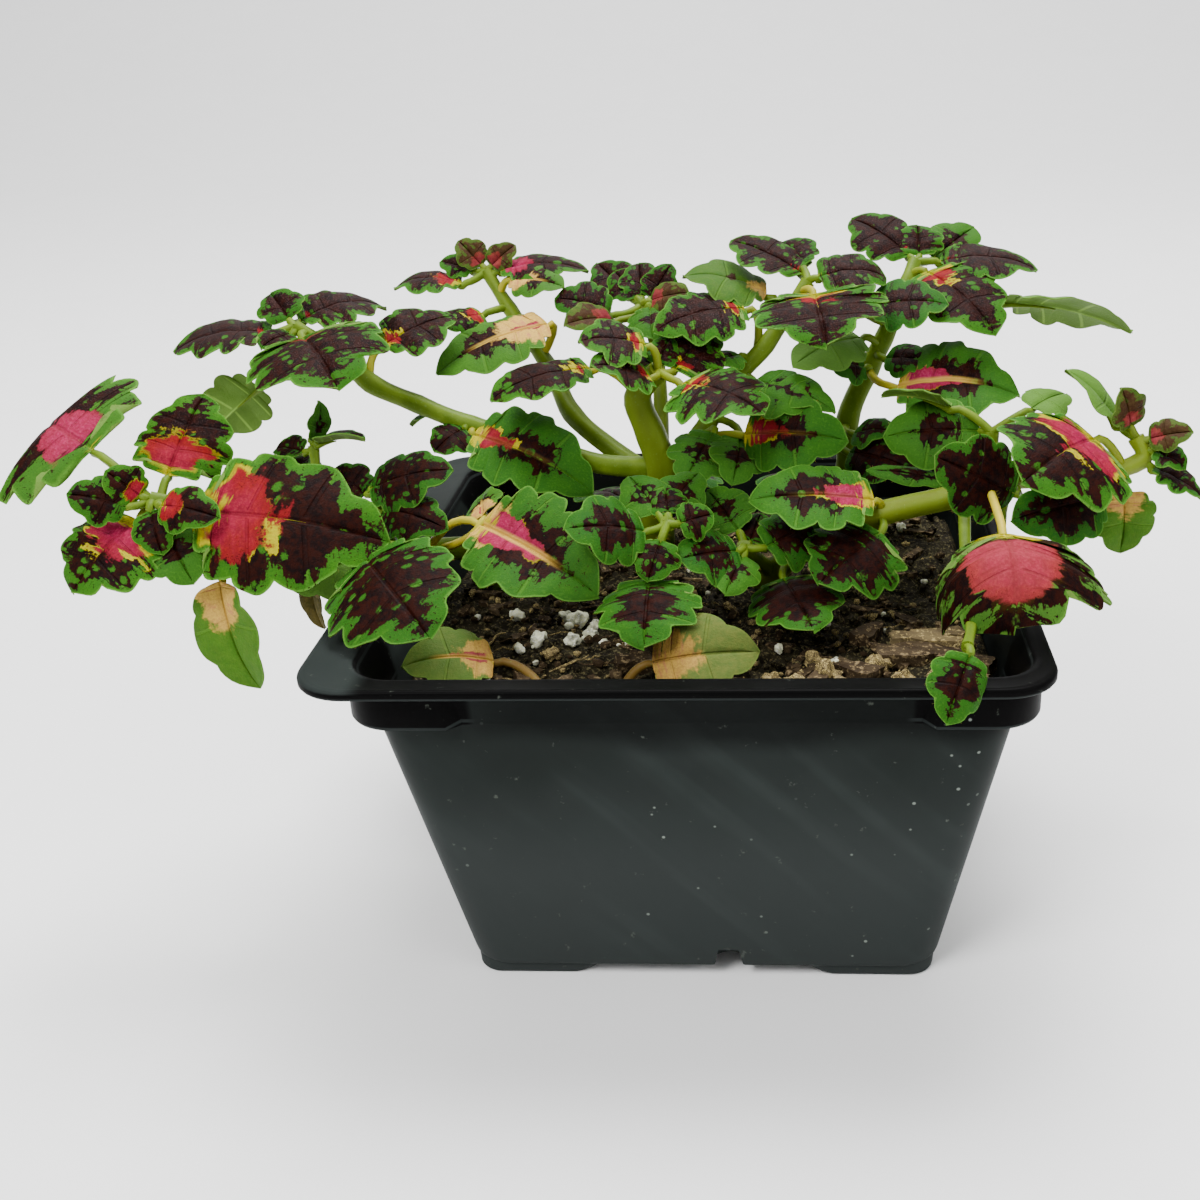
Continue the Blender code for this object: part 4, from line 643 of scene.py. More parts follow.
def blade_sheet(blade, look, seed):
    """One blade as a thin closed mesh that carries what its finish reads."""
    small = blade.width < SMALL_WIDTH
    rows = (SMALL_ROWS_PER_LOBE if small else ROWS_PER_LOBE) * (2 * blade.lobes + 1)
    columns = SMALL_COLUMNS if small else BLADE_COLUMNS
    bm, places = grid_sheet(columns, rows, ["place", "zone", "tint"], ["flat"], ["topside"])
    flat_layer = bm.verts.layers.float_vector["flat"]
    place_layer = bm.verts.layers.float_color["place"]
    zone_layer = bm.verts.layers.float_color["zone"]
    tint_layer = bm.verts.layers.float_color["tint"]
    band, pink, hue, yellow, cream, green, dry, pale = LOOKS[look]
    rng = random.Random(seed + 100)

    def vary(value, amount):
        return max(0.0, value + rng.uniform(-amount, amount))

    zone = (vary(band, 0.03) / 2, vary(pink, 0.04) if pink else 0.0, vary(hue, 0.08), yellow)
    tint = (cream, vary(green, 0.12), dry, pale)
    margin = [blade.flat(step / 60, across) for step in range(61) for across in (-1, 1)]
    for (row, column), vertex in places.items():
        t = row / rows
        across = 2 * column / columns - 1
        x, y = blade.flat(t, across)
        edge = min(math.hypot(x - a, y - b) for a, b in margin)
        if abs(across) == 1:
            edge = 0.0
        vertex.co = blade.point(t, across)
        vertex[flat_layer] = (x, y, seed * 3.7)
        beat = t * (2 * blade.lobes + 1) / 12
        vertex[place_layer] = (x / blade.length, 0.5 + y / blade.width, edge / (0.5 * blade.width),
                               beat)
        vertex[zone_layer] = zone
        vertex[tint_layer] = tint
    bmesh.ops.remove_doubles(bm, verts=bm.verts, dist=0.01)
    bm.normal_update()
    middle = places[rows // 2, columns // 2]
    if middle.normal.dot(blade.normal) < 0:
        bmesh.ops.reverse_faces(bm, faces=bm.faces)
    thicken(bm)
    return bm


def thicken(bm):
    """Give a sheet its thickness, thinner at the rim, and mark the underside."""
    bm.normal_update()
    topside = bm.verts.layers.float["topside"]
    place_layer = bm.verts.layers.float_color["place"]
    sheet = list(bm.verts)
    for vertex in sheet:
        vertex[topside] = 1.0
    offsets = {}
    for vertex in sheet:
        thin = 0.55 + 0.45 * smooth_step(0, 0.12, vertex[place_layer][2])
        offsets[tuple(vertex.co)] = vertex.normal * BLADE / 2 * thin
    made = bmesh.ops.extrude_face_region(bm, geom=bm.faces[:], use_keep_orig=True)["geom"]
    for vertex in [item for item in made if isinstance(item, bmesh.types.BMVert)]:
        vertex.co -= offsets[tuple(vertex.co)]
        vertex[topside] = 0.0
    for vertex in sheet:
        vertex.co += offsets[tuple(vertex.co)]
    bmesh.ops.recalc_face_normals(bm, faces=bm.faces)


# Fine hairs
def route_hairs(route, rng):
    """Root, direction and length of the hairs that stand out from a stem or stalk."""
    hairs = []
    for start, end in zip(route, route[1:]):
        low = Vector(start[:3])
        line = Vector(end[:3]) - low
        for number in range(int(line.length * HAIRS_PER_MM + rng.random())):
            share = rng.random()
            loose = Vector((rng.gauss(0, 1), rng.gauss(0, 1), rng.gauss(0, 1)))
            ahead = line.normalized()
            out = (loose - ahead * loose.dot(ahead)).normalized()
            radius = start[3] + (end[3] - start[3]) * share
            hairs.append((low + line * share + out * radius * 0.9,
                          out + ahead * rng.uniform(-0.3, 0.4), rng.uniform(0.45, 1.0)))
    return hairs


def margin_hairs(blade, rng):
    """Root, direction and length of the hairs round the rim of a blade."""
    hairs = []
    for number in range(int(2 * blade.length * MARGIN_HAIRS_PER_MM)):
        t = rng.uniform(0.04, 0.98)
        half = rng.choice((-1, 1))
        rim = blade.point(t, half)
        out = (rim - blade.point(t, 0.9 * half)).normalized()
        lean = blade.axis * rng.uniform(-0.2, 0.6) + blade.normal * rng.uniform(-0.5, 0.5)
        hairs.append((rim - out * 0.15, out + lean, rng.uniform(0.35, 0.7)))
    return hairs


def make_hairs(hairs, name, mat, node):
    """One pointed hair, doubled until there are enough, then each set in its place."""
    bm = bmesh.new()
    bmesh.ops.create_cone(bm, segments=3, radius1=HAIR_RADIUS, radius2=0, depth=1, cap_ends=True)
    corners = len(bm.verts)
    while len(bm.verts) < corners * len(hairs):
        bmesh.ops.duplicate(bm, geom=bm.verts[:] + bm.edges[:] + bm.faces[:])
    points = [vertex for vertex in bm.verts if vertex.co.z > 0]
    whole = [[point] + [edge.other_vert(point) for edge in point.link_edges] for point in points]
    for vertices, (root, way, length) in zip(whole, hairs):
        turn = way.to_track_quat("Z", "Y")
        for vertex in vertices:
            x, y, z = vertex.co
            vertex.co = root + turn @ Vector((x, y, (z + 0.5) * length))
    spare = [vertex for vertices in whole[len(hairs):] for vertex in vertices]
    bmesh.ops.delete(bm, geom=spare, context="VERTS")
    finish_piece(bm, name, mat, node, False)


def stalk_route(blade, root, radius):
    """From the stem to the blade's base and on as the midrib under the blade."""
    start = min(STALK_RADIUS * 1.15, 0.8 * radius)
    end = min(STALK_RADIUS, 0.06 * blade.width + 0.25)
    reach = (blade.base - root).length
    bend = blade.base - blade.axis * reach * 0.45
    route = []
    steps = max(5, int(reach / 2.5))
    for step in range(steps):
        t = step / steps
        spot = root * (1 - t) ** 2 + bend * 2 * t * (1 - t) + blade.base * t * t
        route.append((*spot, start + (end - start) * t))
    for step in range(9):
        t = step / 8 * 0.66
        spot = blade.point(t, 0.0) - blade.normal * (0.35 * end + 0.12)
        route.append((*spot, end * (1 - 0.8 * step / 8)))
    return route


# Materials are written as expressions on sockets
class Value:
    """One socket of a material, with the usual sums as Math nodes."""

    def __init__(self, shader, socket):
        self.shader = shader
        self.socket = socket

    def math(self, operation, *others, clamp=False):
        settings = {"operation": operation, "use_clamp": clamp}
        inputs = {index: item for index, item in enumerate((self,) + others)}
        return self.shader.node("ShaderNodeMath", settings, inputs).out(0)

    def __add__(self, other):
        return self.math("ADD", other)

    def __sub__(self, other):
        return self.math("SUBTRACT", other)

    def __mul__(self, other):
        return self.math("MULTIPLY", other)

    def __radd__(self, other):
        return self.math("ADD", other)

    def __rmul__(self, other):
        return self.math("MULTIPLY", other)

    def __rsub__(self, other):
        return self.shader.node("ShaderNodeMath", {"operation": "SUBTRACT"},
                                {0: other, 1: self}).out(0)

    def __pow__(self, other):
        return self.math("POWER", other)

    def clamp(self):
        return self.math("ADD", 0.0, clamp=True)

    def absolute(self):
        return self.math("ABSOLUTE")

    def cosine(self):
        return self.math("COSINE")

    def larger(self, other):
        return self.math("MAXIMUM", other)

    def ramp(self, low, high):
        """0 below low and 1 above high, smooth between; a low above high turns it round."""
        settings = {"interpolation_type": "SMOOTHSTEP"}
        if low > high:
            return 1 - self.ramp(high, low)
        inputs = {"Value": self, "From Min": low, "From Max": high}
        return self.shader.node("ShaderNodeMapRange", settings, inputs).out("Result")


class Made:
    """A node of a material, whose outputs are read by name."""

    def __init__(self, shader, node):
        self.shader = shader
        self.node = node

    def out(self, name):
        return Value(self.shader, self.node.outputs[name])


class Finish:
    """A material and its nodes."""

    def __init__(self, name, **sockets):
        self.material = bpy.data.materials.new(name)
        self.material.use_nodes = True
        self.tree = self.material.node_tree
        self.surface = self.tree.nodes["Principled BSDF"]
        for socket, value in sockets.items():
            self.surface.inputs[socket.replace("_", " ")].default_value = value

    def link(self, socket, value):
        if isinstance(value, Value):
            self.tree.links.new(value.socket, socket)
        elif isinstance(value, (tuple, list)) and len(value) == 3 and socket.type == "RGBA":
            socket.default_value = (*value, 1.0)
        else:
            socket.default_value = value

    def node(self, kind, settings=None, inputs=None):
        node = self.tree.nodes.new(kind)
        for name, value in (settings or {}).items():
            setattr(node, name, value)
        for name, value in (inputs or {}).items():
            self.link(node.inputs[name], value)
        return Made(self, node)

    def mix(self, factor, first, second, blend="MIX"):
        settings = {"data_type": "RGBA", "blend_type": blend}
        node = self.node("ShaderNodeMix", settings)
        self.link(node.node.inputs["Factor"], factor)
        self.link(node.node.inputs[6], first)
        self.link(node.node.inputs[7], second)
        return Value(self, node.node.outputs[2])

    def attribute(self, name):
        return self.node("ShaderNodeAttribute", {"attribute_name": name})

    def parts(self, name):
        """The four numbers of a colour attribute."""
        made = self.attribute(name)
        split = self.node("ShaderNodeSeparateColor", None, {"Color": made.out("Color")})
        return (split.out("Red"), split.out("Green"), split.out("Blue"), made.out("Alpha"))

    def position(self):
        return self.node("ShaderNodeTexCoord").out("Object")

    def vector(self, x, y, z):
        return self.node("ShaderNodeCombineXYZ", None, {"X": x, "Y": y, "Z": z}).out("Vector")

    def stretch(self, vector, x, y, z):
        settings = {"operation": "MULTIPLY"}
        return self.node("ShaderNodeVectorMath", settings, {0: vector, 1: (x, y, z)}).out("Vector")

    def grain(self, vector, scale, detail=2.0, roughness=0.5, distortion=0.0):
        inputs = {"Vector": vector, "Scale": scale, "Detail": detail, "Roughness": roughness,
                  "Distortion": distortion}
        return self.node("ShaderNodeTexNoise", None, inputs).out(0)

    def cells(self, vector, scale, randomness=1.0):
        inputs = {"Vector": vector, "Scale": scale, "Randomness": randomness}
        return self.node("ShaderNodeTexVoronoi", None, inputs).out("Distance")

    def bump(self, height, distance, strength=1.0):
        inputs = {"Height": height, "Distance": distance, "Strength": strength}
        normal = self.node("ShaderNodeBump", None, inputs).out("Normal")
        self.link(self.surface.inputs["Normal"], normal)

    def set(self, name, value):
        self.link(self.surface.inputs[name], value)


# Where the pot's surface changes, in metres: heights, and distances to the side, between which
# each change runs; the shade under the rim, on the lip and at the right is painted shade, and
# the sheen on the left flange is a painted highlight
LIGHTER_TOP = 0.050
LIGHTER_FULL = 0.022
RIM_SHADE = (0.0510, 0.0560)
LIP_SHADE = (0.0640, 0.0650)
SHADE_RIGHT = (0.045, 0.075)
SHADE_SIDE = (-0.035, -0.005)
LUG_START = (0.034, 0.036)
LEFT_SHEEN = (0.050, 0.054)

# Colours as the picture should show them, from 0 to 255, by what they cover
LEAF_COLOURS = {
    "bright_green": (75, 132, 22), "mid_green": (55, 110, 17), "deep_green": (30, 81, 26),
    "rim_green": (124, 168, 82), "vein_green": (107, 152, 57), "pale_green": (124, 150, 84),
    "faded": (175, 104, 95), "maroon": (44, 22, 12), "maroon_deep": (26, 14, 7),
    "maroon_grey_and_sheen": (84, 55, 56), "red": (151, 31, 35), "coral": (172, 57, 50),
    "magenta": (149, 27, 74), "rose": (170, 71, 104), "vein_red": (116, 13, 35),
    "yellow": (182, 168, 14), "yellow_green": (146, 150, 14), "cream": (192, 166, 112),
    "tan": (166, 132, 88), "withered": (120, 90, 52), "withered_deep": (80, 56, 34),
    "under": (98, 128, 54), "under_pale": (120, 148, 76), "under_vein": (150, 176, 103),
}
STEM_COLOURS = {
    "stem": (92, 116, 22), "stem_pale": (140, 158, 64), "stem_brown": (120, 92, 44),
    "stem_cream": (209, 190, 127),
}
GROUND_COLOURS = {
    "peat": (18, 15, 10), "peat_mid": (40, 34, 22), "peat_light": (96, 86, 58),
    "bark": (42, 30, 19), "bark_mid": (74, 58, 40), "bark_light": (128, 108, 80),
    "crumb_mid": (146, 128, 96), "crumb_light": (198, 184, 148),
    "tanbark": (84, 68, 46), "tanbark_mid": (120, 102, 72), "tanbark_light": (164, 146, 110),
    "perlite": (170, 168, 154), "perlite_mid": (204, 202, 190), "perlite_light": (212, 212, 206),
}
POT_COLOURS = {
    "pot_painted_shade": (23, 22, 23), "pot": (38, 40, 40), "pot_low": (54, 56, 57),
    "pot_cloud_and_highlight": (53, 56, 57), "pot_mark_and_sheen": (67, 72, 72), "pot_scuff": (137, 141, 137),
    "pot_dust": (109, 112, 106),
}
# How much a colour of the leaves is held back or pushed against its neighbours
PUSHED = {
    "red": 0.84, "coral": 0.86, "magenta": 1.14, "rose": 1.14, "bright_green": 0.92,
    "mid_green": 0.9, "yellow": 0.88, "yellow_green": 0.9,
}
# The picture blends the channels a little, bends them along one curve, and separates them
SCREEN_GAMMA = 2.2
CHANNEL_BLEND = 0.6
MIDDLE_LIGHT = 0.222
CURVE_POWER = 0.807
GREEN_GAIN = 1.06
DARKEST = 0.0008
LIGHTEST = 0.92


def painted(shown, light, sheen, push):
    """The surface colour that looks like the shown one under a light, less what sheen adds."""
    plain = [(channel / 255) ** SCREEN_GAMMA for channel in shown]
    grey = sum(plain) / 3
    blended = [(channel + (grey - channel) * CHANNEL_BLEND) ** (1 / SCREEN_GAMMA)
               for channel in plain]
    lit = [MIDDLE_LIGHT * (channel / (1 - channel)) ** (1 / CURVE_POWER) for channel in blended]
    grey = sum(lit) / 3
    apart = [(channel - grey * CHANNEL_BLEND) / (1 - CHANNEL_BLEND) for channel in lit]
    apart[1] *= GREEN_GAIN
    surface = [(channel - sheen) / light * push for channel in apart]
    return tuple(min(LIGHTEST, max(DARKEST, channel)) for channel in surface)


# Every surface colour; each group of pieces has its own light and sheen
COLOURS = {}
for group, light, sheen in ((LEAF_COLOURS, 1.45, 0.010), (STEM_COLOURS, 1.5, 0.015),
                            (GROUND_COLOURS, 1.3, 0.004), (POT_COLOURS, 1.3, 0.010)):
    for name, shown in group.items():
        COLOURS[name] = painted(shown, light, sheen, PUSHED.get(name, 1.0))


def leaf_finish():
    """Maroon with a green crenate margin, a pink and yellow heart, and pale undersides."""
    f = Finish("coleus_leaf", Metallic=0.0, Specular_IOR_Level=0.045)
    flat = f.attribute("flat").out("Vector")
    along, across, edge, beat = f.parts("place")
    band, pink, hue, yellow = f.parts("zone")
    cream, green, dry, pale = f.parts("tint")
    topside = f.attribute("topside").out("Fac")
    band = band * 2
    offside = (across - 0.5) * 2
    aside = offside.absolute()
    lobes = beat * 12
    # Side veins leave the midrib towards each lobe and the grid's rows follow them
    vein_wave = 0.5 - 0.5 * (lobes * math.pi).cosine()
    vein = vein_wave.ramp(0.975, 1.0) * aside.ramp(0.02, 0.10) * edge.ramp(0.0, 0.12)
    midrib = aside.ramp(0.045, 0.012) * along.ramp(0.97, 0.75)
    coarse = f.grain(flat, 0.28, 3.0, 0.6)
    middling = f.grain(flat, 0.75, 3.0, 0.65)
    fine = f.grain(flat, 2.4, 2.0, 0.6)
    speck = f.grain(flat, 4.2, 1.0)
    split = f.node("ShaderNodeSeparateXYZ", None, {0: flat})
    leaf_number = split.out("Z")
    half = offside.ramp(-0.01, 0.01)
    finger = f.grain(f.vector(lobes * 2.6, aside * 1.6, leaf_number + half), 1.0, 3.0, 0.7)
    streak = f.grain(f.vector(lobes * 2.4, aside * 2.0, leaf_number + half * 3), 1.0, 2.0, 0.6)
    sector = f.grain(f.vector(lobes * 0.7, half * 5, leaf_number), 1.0, 1.0)

    # Where the maroon starts: a ragged line that reaches out along the veins
    teeth = ((lobes * 1.5 + (finger - 0.5) * 1.4) * 2 * math.pi).cosine()
    ragged = (middling - 0.5) * 0.30 + (finger - 0.5) * 0.46 + (fine - 0.5) * 0.10 + teeth * 0.05
    depth = edge + ragged + vein_wave * 0.13 - band
    maroon = depth.ramp(-0.012, 0.018)
    islands = f.cells(f.vector(lobes * 1.3, aside * 3.4, leaf_number), 1.0, 0.9)
    island = (islands + (fine - 0.5) * 0.2).ramp(0.34, 0.28)
    island = island * coarse.ramp(0.40, 0.50) * depth.ramp(0.46, 0.34)
    maroon = maroon * (1 - island * depth.ramp(0.02, 0.08))
    scrap = fine.ramp(0.62, 0.66) * depth.ramp(-0.22, -0.10)
    maroon = maroon.larger(scrap * band.ramp(0.9, 0.7))

    # The heart of the blade, from its base outwards
    reach = ((along * along) + (offside * offside) * 0.34) ** 0.5
    slim_reach = ((along * along) + (offside * offside) * (0.34 + (cream + pale) * 8)) ** 0.5
    wander = (coarse - 0.5) * 0.30 + (streak - 0.5) * 0.30 + (fine - 0.5) * 0.08
    heart = reach + wander - vein_wave * 0.05
    inside = pink - slim_reach - wander + vein_wave * 0.05
    has_pink = pink.ramp(0.02, 0.06)
    inland = edge + (finger - 0.5) * 0.24
    rosy = inside.ramp(-0.015, 0.03) * has_pink * inland.ramp(0.13, 0.19)
    # Yellow fills some sectors between the pink and the maroon, and the base beside the stalk
    room = 0.15 * sector.ramp(0.46, 0.60) * yellow - 0.03
    rim = (inside + room).ramp(-0.012, 0.02) * has_pink * yellow.ramp(0.3, 0.5)
    rim = rim * sector.ramp(0.44, 0.50) * inland.ramp(0.07, 0.13)
    near_base = 0.36 * yellow * pink - reach + (streak - 0.5) * 0.36 + aside.ramp(0.0, 0.3) * 0.05
    gold = near_base.ramp(-0.015, 0.03) * yellow.ramp(0.05, 0.2)
    creamy = (cream - heart).ramp(-0.03, 0.06) * cream.ramp(0.02, 0.06)

    c = COLOURS
    bright = f.mix(green, c["deep_green"], c["bright_green"])
    leafy = f.mix(coarse.ramp(0.3, 0.7) * 0.7, bright, c["mid_green"])
    leafy = f.mix(depth.ramp(-0.30, 0.0) * 0.35, leafy, c["deep_green"])
    leafy = f.mix(edge.ramp(0.045, 0.0) * 0.45, leafy, c["rim_green"])
    leafy = f.mix(vein.larger(midrib) * 0.25, leafy, c["vein_green"])
    leafy = f.mix(fine.ramp(0.50, 0.70) * 0.18, leafy, c["vein_green"])
    leafy = f.mix(speck.ramp(0.52, 0.66) * 0.35, leafy, c["deep_green"])
    leafy = f.mix(pale * 0.6, leafy, c["pale_green"])
    dark = f.mix(middling.ramp(0.35, 0.65), c["maroon_deep"], c["maroon"])
    # A few grey maroon specks everywhere, and a painted grey sheen that grows on the upper leaves
    dark = f.mix(speck.ramp(0.55, 0.70) * (0.03 + 0.6 * sheen_height(f)), dark, c["maroon_grey_and_sheen"])
    dark = f.mix(vein * 0.4, dark, c["maroon_deep"])
    deep_hue = (hue + inside.ramp(0.0, 0.30) * 0.45 - 0.22).clamp()
    warm = f.mix(deep_hue, c["red"], c["magenta"])
    light = f.mix(deep_hue, c["coral"], c["rose"])
    rose = f.mix(fine.ramp(0.40, 0.72) * 0.65, warm, light)
    rose = f.mix(vein.larger(midrib) * 0.35, rose, c["vein_red"])
    rose = f.mix(streak.ramp(0.55, 0.75) * 0.45, rose, c["vein_red"])
    rose = f.mix(inside.ramp(0.08, 0.0) * 0.4, rose, c["vein_red"])
    rose = f.mix(middling.ramp(0.42, 0.66) * 0.45, rose, c["vein_red"])
    rose = f.mix(pale * (0.35 + 0.5 * fine), rose, c["faded"])
    speckled = (speck + fine * 0.5).ramp(0.86, 0.94) * inside.ramp(0.16, 0.02)
    rose = f.mix(speckled * 0.7, rose, c["maroon"])
    sunny = f.mix(fine.ramp(0.3, 0.7) * 0.5, c["yellow"], c["yellow_green"])
    paper = f.mix(fine.ramp(0.3, 0.7) * 0.6, c["cream"], c["tan"])
    paper = f.mix(streak.ramp(0.5, 0.7) * 0.4, paper, c["rose"])

    colour = f.mix(maroon, leafy, dark)
    colour = f.mix(creamy, colour, paper)
    colour = f.mix(rim, colour, sunny)
    colour = f.mix(rosy, colour, rose)
    colour = f.mix(gold * 0.92, colour, sunny)
    pale_rib = aside.ramp(0.10, 0.03) * (cream * has_pink).ramp(0.05, 0.2)
    pale_rib = pale_rib * along.ramp(0.75, 0.50)
    colour = f.mix(pale_rib * 0.85, colour, c["cream"])
    withered = f.mix(middling.ramp(0.3, 0.7), c["withered"], c["withered_deep"])
    colour = f.mix(dry, colour, withered)

    under = f.mix(coarse, c["under"], c["under_pale"])
    under = f.mix(vein.larger(midrib) * 0.7, under, c["under_vein"])
    under = f.mix(maroon * 0.35, under, c["maroon_grey_and_sheen"])
    under = f.mix(dry, under, withered)
    colour = f.mix(topside, under, colour)
    f.set("Base Color", colour)
    f.set("Roughness", 0.50 + fine * 0.16)
    height = fine * 0.5 + speck * 0.25 - vein * 0.9 * topside - midrib * 0.8 * topside
    f.bump(height, 0.0003, 0.7)
    return f.material


def sheen_height(finish):
    """How high a spot stands above the pot's rim: the upper leaves get a painted grey sheen."""
    split = finish.node("ShaderNodeSeparateXYZ", None, {0: finish.position()})
    return split.out("Z").ramp(SHEEN_FROM, SHEEN_FULL)


def stem_finish():
    """Green and yellow-green stems with paler ridges and a downy surface."""
    f = Finish("coleus_stem", Metallic=0.0, Specular_IOR_Level=0.15)
    c = COLOURS
    tint, length, ridge = f.parts("shade")[:3]
    place = f.position()
    streaks = f.grain(f.stretch(place, 260, 260, 90), 1.0, 2.0)
    fine = f.grain(place, 2200.0, 1.0)
    green = f.mix(tint.ramp(0.0, 0.5), c["stem_brown"], c["stem"])
    colour = f.mix(tint.ramp(0.5, 1.0), green, c["stem_cream"])
    fresh = tint.ramp(0.0, 0.3)
    colour = f.mix(streaks.ramp(0.35, 0.7) * 0.35 * fresh, colour, c["stem_pale"])
    # Paler ridges on the four corners: partly their own paler green, partly a painted highlight
    colour = f.mix(ridge * 0.30 * fresh, colour, c["stem_pale"])
    colour = f.mix(fine.ramp(0.62, 0.75) * 0.3, colour, c["pale_green"])
    f.set("Base Color", colour)
    f.set("Roughness", 0.42 + streaks * 0.2)
    f.bump(streaks * 0.6 + fine * 0.3, 0.0002, 0.6)
    return f.material


def hair_finish():
    """Pale downy hairs, whiter towards some of their tips."""
    f = Finish("coleus_down", Roughness=0.6, Metallic=0.0, Specular_IOR_Level=0.1)
    fine = f.grain(f.position(), 900.0, 1.0)
    f.set("Base Color", f.mix(fine, COLOURS["under_pale"], COLOURS["cream"]))
    return f.material


def pot_finish():
    """Black pressed plastic: soft sheen, pressing marks, dust, scuffs, painted shade and
    highlights.
    """
    f = Finish("pressed_plastic", Metallic=0.0, Specular_IOR_Level=0.015)
    c = COLOURS
    place = f.position()
    cloud = f.grain(place, 22.0, 3.0, 0.6)
    dust = f.grain(place, 420.0, 3.0, 0.7)
    tilted = f.node("ShaderNodeMapping", None, {"Vector": place, "Rotation": (0.0, 0.75, 0.0)})
    marks = f.grain(f.stretch(tilted.out("Vector"), 190, 60, 12), 1.0, 2.0)
    split = f.node("ShaderNodeSeparateXYZ", None, {0: place})
    height = split.out("Z")
    # The body is lighter towards the bottom
    low = height.ramp(LIGHTER_TOP, LIGHTER_FULL)
    colour = f.mix(low, c["pot"], c["pot_low"])
    colour = f.mix(cloud.ramp(0.35, 0.7) * 0.4, colour, c["pot_cloud_and_highlight"])
    colour = f.mix(marks.ramp(0.5, 0.75) * 0.25 * cloud.ramp(0.35, 0.65), colour, c["pot_mark_and_sheen"])
    aside = split.out("X")
    # Painted shade: the right side of the body is darker
    colour = f.mix(aside.ramp(*SHADE_RIGHT) * 0.35, colour, c["pot"])
    deep = split.out("Y")
    # Painted shadow under the rim, fading out towards the left; the lugs, the lip and the flange
    # top are painted dark as shade too
    shaded = (height + (cloud - 0.5) * 0.014).ramp(*RIM_SHADE) * aside.ramp(*SHADE_SIDE)
    corner = (aside - SHIFT_X).absolute().ramp(*LUG_START)
    corner = corner * (deep - SHIFT_Y).absolute().ramp(*LUG_START)
    lug = corner * height.ramp((LUG_BOTTOM - 0.6) * MM, LUG_BOTTOM * MM)
    skirt = height.ramp(*LIP_SHADE)
    colour = f.mix((shaded * 0.6).larger(lug).larger(skirt), colour, c["pot_painted_shade"])
    # Painted highlights where light catches the rolled edge under the lip and the lugs' lower
    # edge, and a painted sheen on the broad left side of the flange
    lip = (RIM_TOP - LIP_DROP) * MM
    edge = height.ramp(lip - 0.0002, lip) * height.ramp(lip + 0.0005, lip + 0.0003)
    lug_highlight = corner * height.ramp((LUG_BOTTOM + 0.1) * MM, (LUG_BOTTOM + 0.3) * MM)
    lug_highlight = lug_highlight * height.ramp((LUG_BOTTOM + 0.9) * MM, (LUG_BOTTOM + 0.7) * MM)
    colour = f.mix((edge * 0.6).larger(lug_highlight * 0.6), colour, c["pot_cloud_and_highlight"])
    # Painted sheen on the broad left side of the flange top
    left_side = aside.ramp(SHIFT_X - LEFT_SHEEN[0], SHIFT_X - LEFT_SHEEN[1])
    flange = height.ramp((RIM_TOP - 0.6) * MM, (RIM_TOP - 0.3) * MM) * left_side
    colour = f.mix(flange * (0.2 + 0.4 * cloud), colour, c["pot_mark_and_sheen"])
    scuff_area = f.grain(place, 30.0, 1.0).ramp(0.54, 0.66)
    scuff = f.cells(place, 260.0).ramp(0.10, 0.05) * scuff_area
    colour = f.mix(scuff * 0.75, colour, c["pot_scuff"])
    colour = f.mix(dust.ramp(0.66, 0.76) * 0.35, colour, c["pot_dust"])
    f.set("Base Color", colour)
    f.set("Roughness", 0.30 + cloud * 0.14 + dust * 0.08 + scuff * 0.3)
    f.bump(cloud * 0.5 + marks * 0.35 + dust * 0.03, 0.0007, 0.5)
    return f.material


def ground_finish(name, deep, mid, light, scale, rough=0.9):
    """Mottled dry matter such as peat, bark or perlite, with grain along its length."""
    f = Finish(name, Metallic=0.0, Specular_IOR_Level=0.08)
    place = f.position()
    coarse = f.grain(place, scale, 3.0, 0.6)
    fine = f.grain(place, scale * 6, 3.0, 0.7)
    colour = f.mix(coarse.ramp(0.35, 0.65), deep, mid)
    colour = f.mix(fine.ramp(0.52, 0.64), colour, light)
    f.set("Base Color", colour)
    f.set("Roughness", rough - 0.2 + 0.25 * fine)
    f.bump(coarse + fine * 0.6, 0.0006, 0.9)
    return f.material


def floor_finish():
    """A pale studio floor, faintly clouded."""
    f = Finish("pale_floor", Roughness=0.8)
    place = f.position()
    f.set("Base Color", f.mix(f.grain(place, 40.0, 2.0), (0.86, 0.86, 0.86), (0.89, 0.89, 0.89)))
    return f.material


# Pot: a closed loft through rings, drain notches cut, and feet set under it
def ring_points(half, corner, height, proud=0.0, centre_x=0.0):
    """One ring of the tub: a square with round corners, which stand proud as lugs."""
    arc_centre = half + proud - corner
    lug_end = half - LUG_LENGTH
    points = []
    for quarter in range(4):
        turn = quarter * math.pi / 2
        side = [(half, 0.0), (half, lug_end - LUG_SLANT), (half + proud, lug_end)]
        for step in range(ARC_STEPS + 1):
            angle = step / ARC_STEPS * math.pi / 2
            side.append((arc_centre + corner * math.cos(angle),
                         arc_centre + corner * math.sin(angle)))
        side += [(lug_end, half + proud), (lug_end - LUG_SLANT, half)]
        for x, y in side:
            points.append((x * math.cos(turn) - y * math.sin(turn) + centre_x,
                           x * math.sin(turn) + y * math.cos(turn), height))
    return points


def outer_half(z):
    """Half the width of the tapered wall at a height."""
    share = (z - BODY_FOOT) / (LUG_BOTTOM - BODY_FOOT)
    return BODY_FOOT_HALF + (BODY_TOP_HALF - BODY_FOOT_HALF) * share


